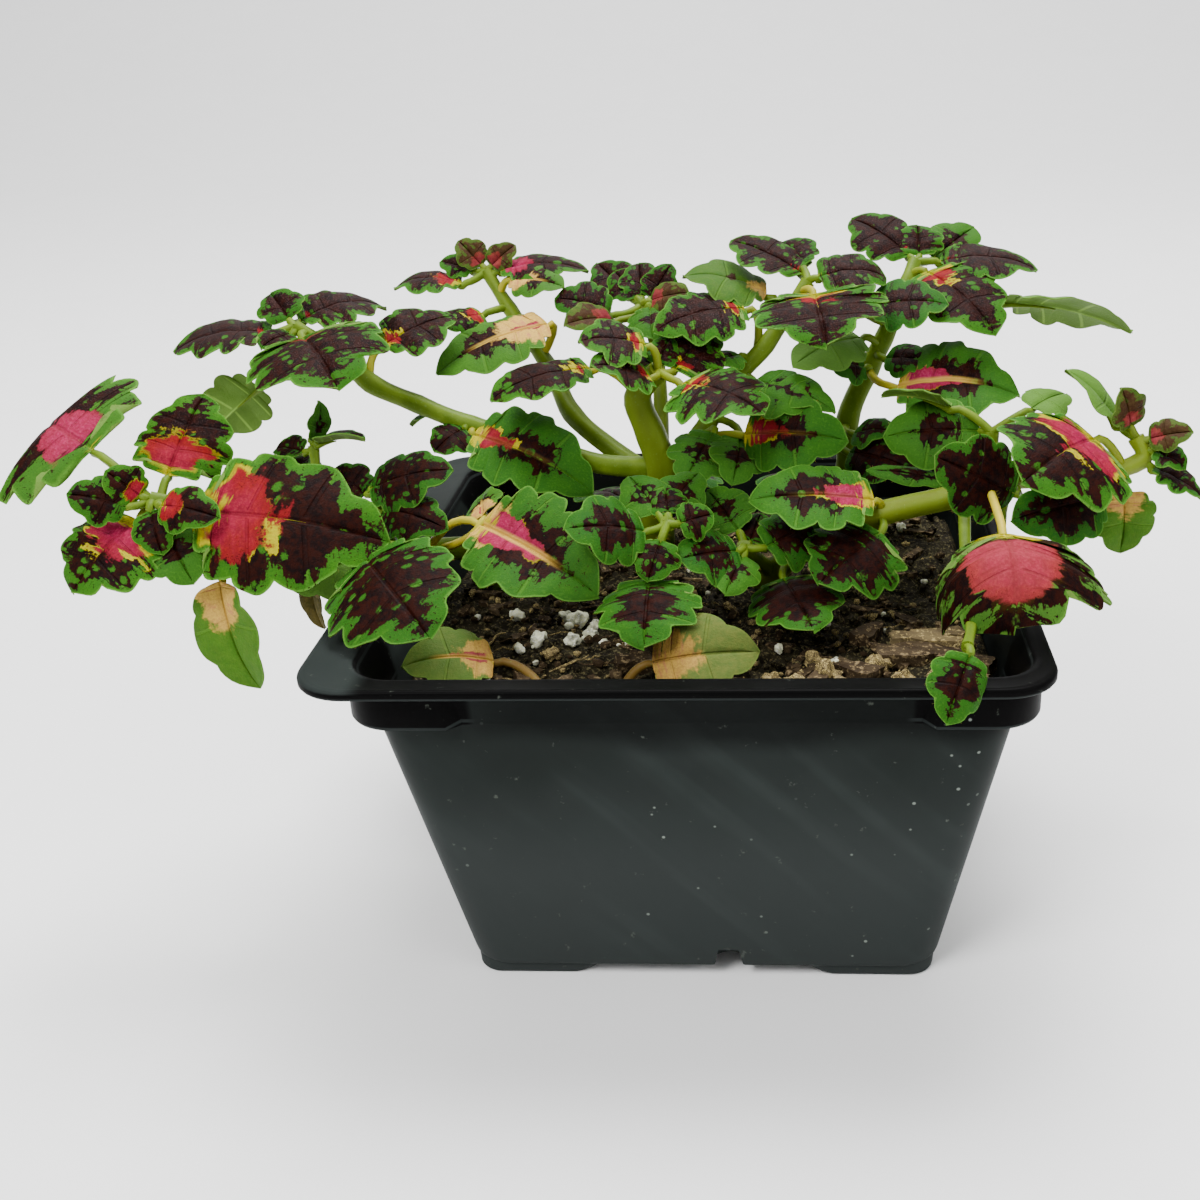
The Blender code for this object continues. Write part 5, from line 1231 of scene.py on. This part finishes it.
def tub_rings():
    """The profile from the middle of the underside round the rim to the inside floor."""
    body_rim = outer_half(RIM_TOP - FLANGE)
    lug_top = LUG_PROUD + outer_half(LUG_BOTTOM) - body_rim
    lip_bottom = RIM_TOP - LIP_DROP
    inner = RIM_HALF - LIP_WIDTH
    under = RIM_TOP - FLANGE
    rings = [
        (BODY_FOOT_HALF - 2.6, BODY_CORNER - 2.6, UNDERSIDE),
        (BODY_FOOT_HALF - 1.5, BODY_CORNER - 1.5, UNDERSIDE + 0.02),
        (BODY_FOOT_HALF - 0.8, BODY_CORNER - 0.8, UNDERSIDE + 0.25),
        (BODY_FOOT_HALF - 0.2, BODY_CORNER - 0.2, UNDERSIDE + 0.8),
        (BODY_FOOT_HALF, BODY_CORNER, BODY_FOOT),
        (BODY_FOOT_HALF + 0.35, BODY_CORNER, BODY_FOOT + 1.8),
    ]
    for step in range(1, 9):
        z = BODY_FOOT + 1.8 + (LUG_BOTTOM - 0.3 - BODY_FOOT - 1.8) * step / 8
        rings.append((outer_half(z), BODY_CORNER, z))
    rings += [
        (outer_half(LUG_BOTTOM), BODY_CORNER, LUG_BOTTOM, LUG_PROUD - 0.7),
        (outer_half(LUG_BOTTOM), BODY_CORNER, LUG_BOTTOM + 0.2, LUG_PROUD - 0.2),
        (outer_half(LUG_BOTTOM), BODY_CORNER, LUG_BOTTOM + 0.7, LUG_PROUD),
        (body_rim, BODY_CORNER, under - 0.3, lug_top),
        (body_rim + 0.3, BODY_CORNER, under, lug_top + 0.2),
        (inner, RIM_CORNER, under, 0, RIM_SWAY),
        (inner, RIM_CORNER, lip_bottom, 0, RIM_SWAY),
        (inner + 0.25, RIM_CORNER, lip_bottom - 0.15, 0, RIM_SWAY),
        (RIM_HALF - 0.15, RIM_CORNER, lip_bottom, 0, RIM_SWAY),
        (RIM_HALF, RIM_CORNER, lip_bottom + 0.3, 0, RIM_SWAY),
        (RIM_HALF, RIM_CORNER, RIM_TOP - 0.45, 0, RIM_SWAY),
        (RIM_HALF - 0.15, RIM_CORNER, RIM_TOP - 0.12, 0, RIM_SWAY),
        (RIM_HALF - 0.5, RIM_CORNER, RIM_TOP, 0, RIM_SWAY),
        (RIM_HALF - 1.1, RIM_CORNER, RIM_TOP - 0.05, 0, RIM_SWAY),
        (RIM_HALF - 1.7, RIM_CORNER, RIM_TOP - 0.25, 0, RIM_SWAY * 0.98),
        (MOUTH_HALF + 1.2, BODY_CORNER, RIM_TOP - 0.25),
        (MOUTH_HALF + 0.6, BODY_CORNER, RIM_TOP - 0.3),
        (MOUTH_HALF + 0.15, BODY_CORNER, RIM_TOP - 0.7),
        (MOUTH_HALF - 0.2, BODY_CORNER, RIM_TOP - 1.5),
        (outer_half(RIM_TOP - 4) - WALL, BODY_CORNER - WALL, RIM_TOP - 4),
        (outer_half(SOIL_TOP - 4) - WALL, BODY_CORNER - WALL, SOIL_TOP - 4),
        (BODY_FOOT_HALF - WALL, BODY_CORNER - WALL, BODY_FOOT + 1.4),
        (BODY_FOOT_HALF - WALL - 1.4, BODY_CORNER - 2.4, FLOOR_TOP),
    ]
    return [ring_points(*ring) for ring in rings]


def closed_loft(rings):
    """Extrude the first ring through all the others and close both ends."""
    bm = bmesh.new()
    loop = [bm.verts.new(point) for point in rings[0]]
    ends = [bm.faces.new(loop)]
    edges = list(bm.edges)
    for ring in rings[1:]:
        made = bmesh.ops.extrude_edge_only(bm, edges=edges)["geom"]
        fresh = [item for item in made if isinstance(item, bmesh.types.BMVert)]
        edges = [item for item in made if isinstance(item, bmesh.types.BMEdge)]
        place = {vertex: index for index, vertex in enumerate(loop)}
        follow = {}
        for vertex in fresh:
            for edge in vertex.link_edges:
                other = edge.other_vert(vertex)
                if other in place:
                    follow[place[other]] = vertex
        loop = [follow[index] for index in range(len(loop))]
        for vertex, point in zip(loop, ring):
            vertex.co = point
    ends.append(bm.faces.new(loop))
    bmesh.ops.poke(bm, faces=ends)
    bmesh.ops.recalc_face_normals(bm, faces=bm.faces)
    return bm


def foot(sign_x, sign_y):
    """One foot of the pot, whose two inner sides lean outwards."""
    middle = BODY_FOOT_HALF - FOOT_INSET - FOOT_SPAN / 2
    bm = bmesh.new()
    bmesh.ops.create_cube(bm, size=1)
    bmesh.ops.scale(bm, vec=(FOOT_SPAN, FOOT_SPAN, UNDERSIDE + FOOT_SINK), verts=bm.verts)
    upright = [edge for edge in bm.edges if abs(edge.verts[0].co.z - edge.verts[1].co.z) > 1]
    bmesh.ops.bevel(bm, geom=upright, offset=FOOT_CORNER, segments=8, profile=0.5, affect="EDGES",
                    material=-1)
    low = [vertex for vertex in bm.verts if vertex.co.z < 0]
    for vertex in low:
        vertex.co.x += sign_x * FOOT_SLOPE * (0.5 - sign_x * vertex.co.x / FOOT_SPAN)
        vertex.co.y += sign_y * FOOT_SLOPE * (0.5 - sign_y * vertex.co.y / FOOT_SPAN)
    bmesh.ops.scale(bm, vec=(FOOT_TAPER, FOOT_TAPER, 1), verts=low)
    rim = [edge for edge in bm.edges if all(vertex.co.z < 0 for vertex in edge.verts)]
    bmesh.ops.bevel(bm, geom=rim, offset=FOOT_ROUND, segments=4, profile=0.5, affect="EDGES",
                    material=-1)
    place = (sign_x * middle, sign_y * middle, (UNDERSIDE + FOOT_SINK) / 2)
    bmesh.ops.translate(bm, vec=place, verts=bm.verts)
    return bm


def passing_object(bm):
    """An object for the drain cut only, which is removed after it."""
    mesh = bpy.data.meshes.new("passing")
    bm.to_mesh(mesh)
    bm.free()
    obj = bpy.data.objects.new("passing", mesh)
    bpy.context.scene.collection.objects.link(obj)
    return obj


def make_pot(mat):
    """The tub with its drain notches and four feet."""
    tub = passing_object(closed_loft(tub_rings()))
    cutters = bmesh.new()
    for turn in range(-1, 3):
        angle = turn * math.pi / 2
        along = Vector((math.cos(angle), math.sin(angle), 0))
        aside = Vector((-math.sin(angle), math.cos(angle), 0))
        place = along * (BODY_FOOT_HALF - DRAIN_INSET) + aside * DRAIN_ASIDE
        place.z = UNDERSIDE
        bmesh.ops.create_cone(cutters, cap_ends=True, segments=28, radius1=DRAIN_WIDTH / 2,
                              radius2=DRAIN_WIDTH / 2, depth=DRAIN_DEPTH,
                              matrix=Matrix.Translation(place))
    cutter = passing_object(cutters)
    cut = tub.modifiers.new("drains", "BOOLEAN")
    cut.operation = "DIFFERENCE"
    cut.solver = "EXACT"
    cut.object = cutter
    graph = bpy.context.evaluated_depsgraph_get()
    mesh = bpy.data.meshes.new_from_object(tub.evaluated_get(graph))
    bm = bmesh.new()
    bm.from_mesh(mesh)
    bpy.data.meshes.remove(mesh)
    bpy.data.objects.remove(tub)
    bpy.data.objects.remove(cutter)
    for x in (-1, 1):
        for y in (-1, 1):
            add_to(bm, foot(x, y))
    finish_piece(bm, "pot_tub", mat, "pot")


# Potting mix
def soil_height(x, y):
    """The gently uneven level that the crumbs and chips lie on."""
    swell = 0.7 * math.sin(0.11 * x + 0.5) * math.cos(0.13 * y)
    return SOIL_TOP + (swell + 0.5 * math.sin(0.31 * x - 0.23 * y))


def crumbly(x, y):
    """The level of the peat itself, rough at three sizes."""
    rough = noise.noise(Vector((x * 0.45, y * 0.45, 3.0))) * 0.9
    rough += noise.noise(Vector((x * 1.2, y * 1.2, 9.0))) * 0.55
    rough += noise.noise(Vector((x * 2.6, y * 2.6, 5.0))) * 0.30
    return soil_height(x, y) + rough


def round_in(x, y, half, corner):
    """Pull a point of a square into the same square with round corners."""
    edge = half - corner
    over_x = abs(x) - edge
    over_y = abs(y) - edge
    if over_x <= 0 or over_y <= 0:
        return x, y
    reach = math.hypot(over_x, over_y)
    shrink = min(1.0, max(over_x, over_y) / reach)
    return (math.copysign(edge + over_x * shrink, x), math.copysign(edge + over_y * shrink, y))


def make_mix(mat):
    """The body of peat, a rough sheet with sides that go down inside the tub."""
    half = outer_half(SOIL_TOP) - WALL - 0.1
    bm = bmesh.new()
    bmesh.ops.create_grid(bm, x_segments=SOIL_CELLS, y_segments=SOIL_CELLS, size=half)
    for vertex in bm.verts:
        x, y = round_in(vertex.co.x, vertex.co.y, half, SOIL_CORNER)
        rim = max(abs(x), abs(y)) / half
        vertex.co = (x, y, crumbly(x, y) - 0.6 * rim - 2.5 * smooth_step(0.975, 1.0, rim))
    edges = [edge for edge in bm.edges if edge.is_boundary]
    for share, height in ((0.80, 6.0), (0.78, 4.2)):
        made = bmesh.ops.extrude_edge_only(bm, edges=edges)["geom"]
        edges = [item for item in made if isinstance(item, bmesh.types.BMEdge)]
        for vertex in [item for item in made if isinstance(item, bmesh.types.BMVert)]:
            vertex.co = (vertex.co.x * share, vertex.co.y * share, height)
    bmesh.ops.contextual_create(bm, geom=edges)
    bmesh.ops.recalc_face_normals(bm, faces=bm.faces)
    finish_piece(bm, "mix_peat", mat, "potting_mix")


def lump(rng, x, y, size, flat, detail, sunk=0.25, rough=0.28):
    """A small uneven lump that rests in the surface of the mix."""
    bm = bmesh.new()
    bmesh.ops.create_icosphere(bm, subdivisions=detail, radius=size)
    turn = Matrix.Rotation(rng.uniform(0, math.pi), 3, "Z")
    seed = rng.uniform(0, 90)
    wide = rng.uniform(0.6, 0.95)
    for vertex in bm.verts:
        bump = 1 + rough * noise.noise(vertex.co * (1.6 / size) + Vector((seed, 0, 0)))
        local = Vector((vertex.co.x * bump, vertex.co.y * bump * wide, vertex.co.z * bump * flat))
        local = turn @ local
        vertex.co = Vector((x, y, soil_height(x, y) + size * (flat - sunk))) + local
    return bm


def chip(rng, x, y, length, width, thick, turn, tilt=0.0, lift=0.0):
    """A torn flake of bark with splintered ends."""
    bm = bmesh.new()
    bmesh.ops.create_cube(bm, size=1)
    bmesh.ops.subdivide_edges(bm, edges=bm.edges, cuts=3, use_grid_fill=True)
    seed = rng.uniform(0, 90)
    for vertex in bm.verts:
        u, v, w = vertex.co
        tear = noise.noise(Vector((v * 4, w * 3, seed))) * 0.22
        u = u * (1 + tear) if abs(u) > 0.3 else u
        narrow = 1 - 0.35 * (u + 0.5) + 0.25 * noise.noise(Vector((u * 3, seed, 1)))
        ripple = noise.noise(Vector((u * 3, v * 3, seed + 7))) * 0.30
        dx = u * length
        dy = v * width * narrow
        dz = (w + ripple * (1 if w > 0 else 0.2)) * thick + dx * tilt
        vertex.co = (x + dx * math.cos(turn) - dy * math.sin(turn),
                     y + dx * math.sin(turn) + dy * math.cos(turn),
                     soil_height(x, y) + lift + dz)
    return bm


def strand(rng, x, y, length, width):
    """A thin dry fibre that lies bent over the crumbs."""
    heading = rng.uniform(0, 2 * math.pi)
    bend = rng.uniform(-0.25, 0.25)
    route = []
    for step in range(7):
        thin = 1 - 0.7 * abs(step / 3 - 1) ** 2
        rise = rng.uniform(0.1, 0.9)
        route.append((x, y, soil_height(x, y) + rise, width * thin))
        x += math.cos(heading) * length / 6
        y += math.sin(heading) * length / 6
        heading += bend
    return tube(route, 5)


def peat_crumb(rng, x, y):
    return lump(rng, x, y, rng.uniform(*PEAT_CRUMB_SIZES), 0.7, 1, 0.3, 0.6)


def brown_crumb(rng, x, y):
    return lump(rng, x, y, rng.uniform(*BROWN_CRUMB_SIZES), 0.7, 1, 0.2, 0.7)


def tan_crumb(rng, x, y):
    return lump(rng, x, y, rng.uniform(*TAN_CRUMB_SIZES), 0.7, 1, 0.2, 0.7)


def loose_strand(rng, x, y):
    return strand(rng, x, y, rng.uniform(*STRAND_LENGTHS), rng.uniform(*STRAND_WIDTHS))


def loose_grain(rng, x, y):
    return lump(rng, x, y, rng.uniform(0.4, 0.9), 0.8, 2, 0.3)


def loose_chip(rng, x, y):
    return chip(rng, x, y, rng.uniform(3, 8), rng.uniform(1, 2.6), rng.uniform(0.8, 1.6),
                rng.uniform(0, 3.1), rng.uniform(-0.15, 0.15))


def loose_tan_chip(rng, x, y):
    return chip(rng, x, y, rng.uniform(3, 6), rng.uniform(0.8, 1.6), 0.8,
                rng.uniform(0, 3.1), rng.uniform(-0.2, 0.2))


def scatter(bm, rng, count, make, reach):
    """Add pieces at random places over the mix, each made by the function."""
    for item in range(count):
        add_to(bm, make(rng, rng.uniform(-reach, reach), rng.uniform(-reach, reach)))


def make_crumbs(name, mat, rng, count, make):
    """Loose crumbs of one colour, and dry fibres among the brown and tan ones."""
    bm = bmesh.new()
    scatter(bm, rng, count, make, CRUMB_REACH)
    if make != peat_crumb:
        scatter(bm, rng, count // CRUMBS_PER_STRAND, loose_strand, STRAND_REACH)
    finish_piece(bm, name, mat, None, False)


def make_clumps(mat, rng):
    bm = bmesh.new()
    for x, y, size in CLUMPS:
        add_to(bm, lump(rng, x, y, size, 0.75, 3, 0.3, 0.75))
    finish_piece(bm, "mix_clumps", mat, None, False)


def make_perlite(mat, rng):
    bm = bmesh.new()
    for x, y, size in PERLITE:
        add_to(bm, lump(rng, x, y, size, 0.8, 3, 0.35, 0.55))
    scatter(bm, rng, LOOSE_GRAINS, loose_grain, GRAIN_REACH)
    finish_piece(bm, "mix_perlite", mat)


def make_bark(name, mat, rng, count, make, chips, thick, lift):
    """Loose chips all over the mix, and the larger ones in their own places."""
    bm = bmesh.new()
    scatter(bm, rng, count, make, CHIP_REACH)
    for x, y, length, width, turn in chips:
        add_to(bm, chip(rng, x, y, length, width, thick, turn, rng.uniform(-0.1, 0.1), lift))
    finish_piece(bm, name, mat)


# Plants
def make_plant(plant, leaf_mat, stem_mat, hair_mat, seed):
    routes = {key: smooth_route(points, STEM_STEPS) for key, points in PLANTS[plant].items()}
    rng = random.Random(seed + 50)
    hairs = []
    blades = bmesh.new()
    stems = bmesh.new()
    for key, route in routes.items():
        places = [point[:3] for point in PLANTS[plant][key][2:]]
        swell = [(place, NODE_SWELL, NODE_REACH) for place in places]
        add_to(stems, tube(route, STEM_SIDES, STEM_SQUARE, STEM_TINTS.get(key, PLAIN_TINT), swell))
        hairs += route_hairs([point for point in route if point[2] > SOIL_TOP + 1], rng)
    for number, row in enumerate(LEAVES[plant]):
        stem, base, tip, width, lobes, face, fold, arch, look = row
        blade = Blade(base, tip, width, lobes, face, fold, arch, seed + number)
        root, radius = nearest_on(routes[stem], STALK_ROOTS.get(base, base))
        add_to(blades, blade_sheet(blade, look, seed + number))
        route = stalk_route(blade, root, radius)
        add_to(stems, tube(route, STALK_SIDES, 0.0, STALK_TINTS.get(look, PLAIN_TINT)))
        hairs += route_hairs(route, rng) + margin_hairs(blade, rng)
    make_hairs(hairs, plant + "_hairs", hair_mat, plant)
    finish_piece(blades, plant + "_blades", leaf_mat, plant)
    finish_piece(stems, plant + "_stems", stem_mat, plant)


def make_fallen(name, leaf_mat, stem_mat, seed):
    base, tip, width, lobes, root, fold, face, look = FALLEN[name]
    blade = Blade(base, tip, width, lobes, face, fold, FALLEN_ARCH, seed)
    finish_piece(blade_sheet(blade, look, seed), name + "_blade", leaf_mat, name)
    route = stalk_route(blade, Vector(root), FALLEN_STALK)
    stalk = tube(route, STALK_SIDES, 0.0, STALK_TINTS["scrap"])
    finish_piece(stalk, name + "_stalk", stem_mat, name)


# Camera, lamps and floor
def hang_lamp(name, place, target, size, power):
    light = bpy.data.lights.new(name, "AREA")
    light.shape = "DISK"
    light.size = size
    light.energy = power
    obj = bpy.data.objects.new(name, light)
    bpy.context.scene.collection.objects.link(obj)
    obj.location = place
    obj.rotation_euler = (Vector(target) - Vector(place)).to_track_quat("-Z", "Y").to_euler()


def make_floor():
    """A pale floor that curves up into a wall behind the pot."""
    bm = bmesh.new()
    bmesh.ops.create_grid(bm, x_segments=1, y_segments=60, size=FLOOR_HALF)
    for vertex in bm.verts:
        past = max(0.0, vertex.co.y - SWEEP_START)
        turn = min(past / SWEEP_RADIUS, math.pi / 2)
        if past:
            rise = max(0.0, past - SWEEP_RADIUS * math.pi / 2)
            vertex.co.y = SWEEP_START + SWEEP_RADIUS * math.sin(turn)
            vertex.co.z = SWEEP_RADIUS * (1 - math.cos(turn)) + rise
    mesh = bpy.data.meshes.new("floor")
    bm.to_mesh(mesh)
    bm.free()
    mesh.shade_smooth()
    floor = bpy.data.objects.new("floor", mesh)
    bpy.context.scene.collection.objects.link(floor)
    mesh.materials.append(floor_finish())


def light_room():
    """The four lamps and the even light of the room."""
    for name, (place, target, size, power) in LAMPS.items():
        hang_lamp(name, place, target, size, power)
    world = bpy.data.worlds.new("studio")
    world.use_nodes = True
    sky = world.node_tree.nodes["Background"]
    sky.inputs["Color"].default_value = (1, 1, 1, 1)
    sky.inputs["Strength"].default_value = ROOM_LIGHT
    bpy.context.scene.world = world


def set_camera():
    """The camera at the photograph's own angle."""
    pitch = math.radians(CAMERA_PITCH)
    yaw = math.radians(CAMERA_YAW)
    roll = math.radians(CAMERA_ROLL)
    ahead = Vector((math.sin(yaw) * math.cos(pitch), math.cos(yaw) * math.cos(pitch),
                    -math.sin(pitch)))
    right = Vector((math.cos(yaw), -math.sin(yaw), 0))
    up = right.cross(ahead)
    turned_right = right * math.cos(roll) + up * math.sin(roll)
    turned_up = up * math.cos(roll) - right * math.sin(roll)
    camera = bpy.data.cameras.new("camera")
    camera.sensor_width = 36
    camera.lens = CAMERA_LENS
    camera.shift_x, camera.shift_y = CAMERA_SHIFT
    camera.clip_start = 0.01
    obj = bpy.data.objects.new("camera", camera)
    bpy.context.scene.collection.objects.link(obj)
    turn = Matrix((turned_right, turned_up, -ahead)).transposed().to_4x4()
    x, y, z = CAMERA_PLACE
    place = Matrix.Translation((x + SHIFT_X, y + SHIFT_Y, z))
    obj.matrix_world = place @ turn
    bpy.context.scene.camera = obj


def main():
    c = COLOURS
    leaf_mat = leaf_finish()
    stem_mat = stem_finish()
    hair_mat = hair_finish()
    peat = ground_finish("peat", c["peat"], c["peat_mid"], c["peat_light"], 260.0)
    bark = ground_finish("bark", c["bark"], c["bark_mid"], c["bark_light"], 160.0)
    tan_bark = ground_finish("tan_bark", c["tanbark"], c["tanbark_mid"],
                             c["tanbark_light"], 170.0)
    perlite = ground_finish("perlite", c["perlite"], c["perlite_mid"],
                            c["perlite_light"], 500.0, 0.75)
    pale_crumb = ground_finish("pale_crumb", c["bark_mid"], c["crumb_mid"],
                               c["crumb_light"], 900.0)
    make_pot(pot_finish())
    make_mix(peat)
    rng = random.Random(11)
    make_crumbs("mix_crumbs", peat, rng, PEAT_CRUMBS, peat_crumb)
    make_crumbs("mix_brown_crumbs", bark, rng, BROWN_CRUMBS, brown_crumb)
    make_crumbs("mix_tan_crumbs", pale_crumb, rng, TAN_CRUMBS, tan_crumb)
    make_clumps(pale_crumb, rng)
    make_perlite(perlite, rng)
    make_bark("mix_bark", bark, rng, LOOSE_CHIPS, loose_chip, BARK, 2.6, 0.7)
    make_bark("mix_tan_bark", tan_bark, rng, LOOSE_TAN_CHIPS, loose_tan_chip, TAN_BARK, 1.8, 1.4)
    for index, plant in enumerate(PLANTS):
        make_plant(plant, leaf_mat, stem_mat, hair_mat, 100 * index)
    for index, name in enumerate(FALLEN):
        make_fallen(name, leaf_mat, stem_mat, 901 + index)
    make_floor()
    light_room()
    set_camera()


main()
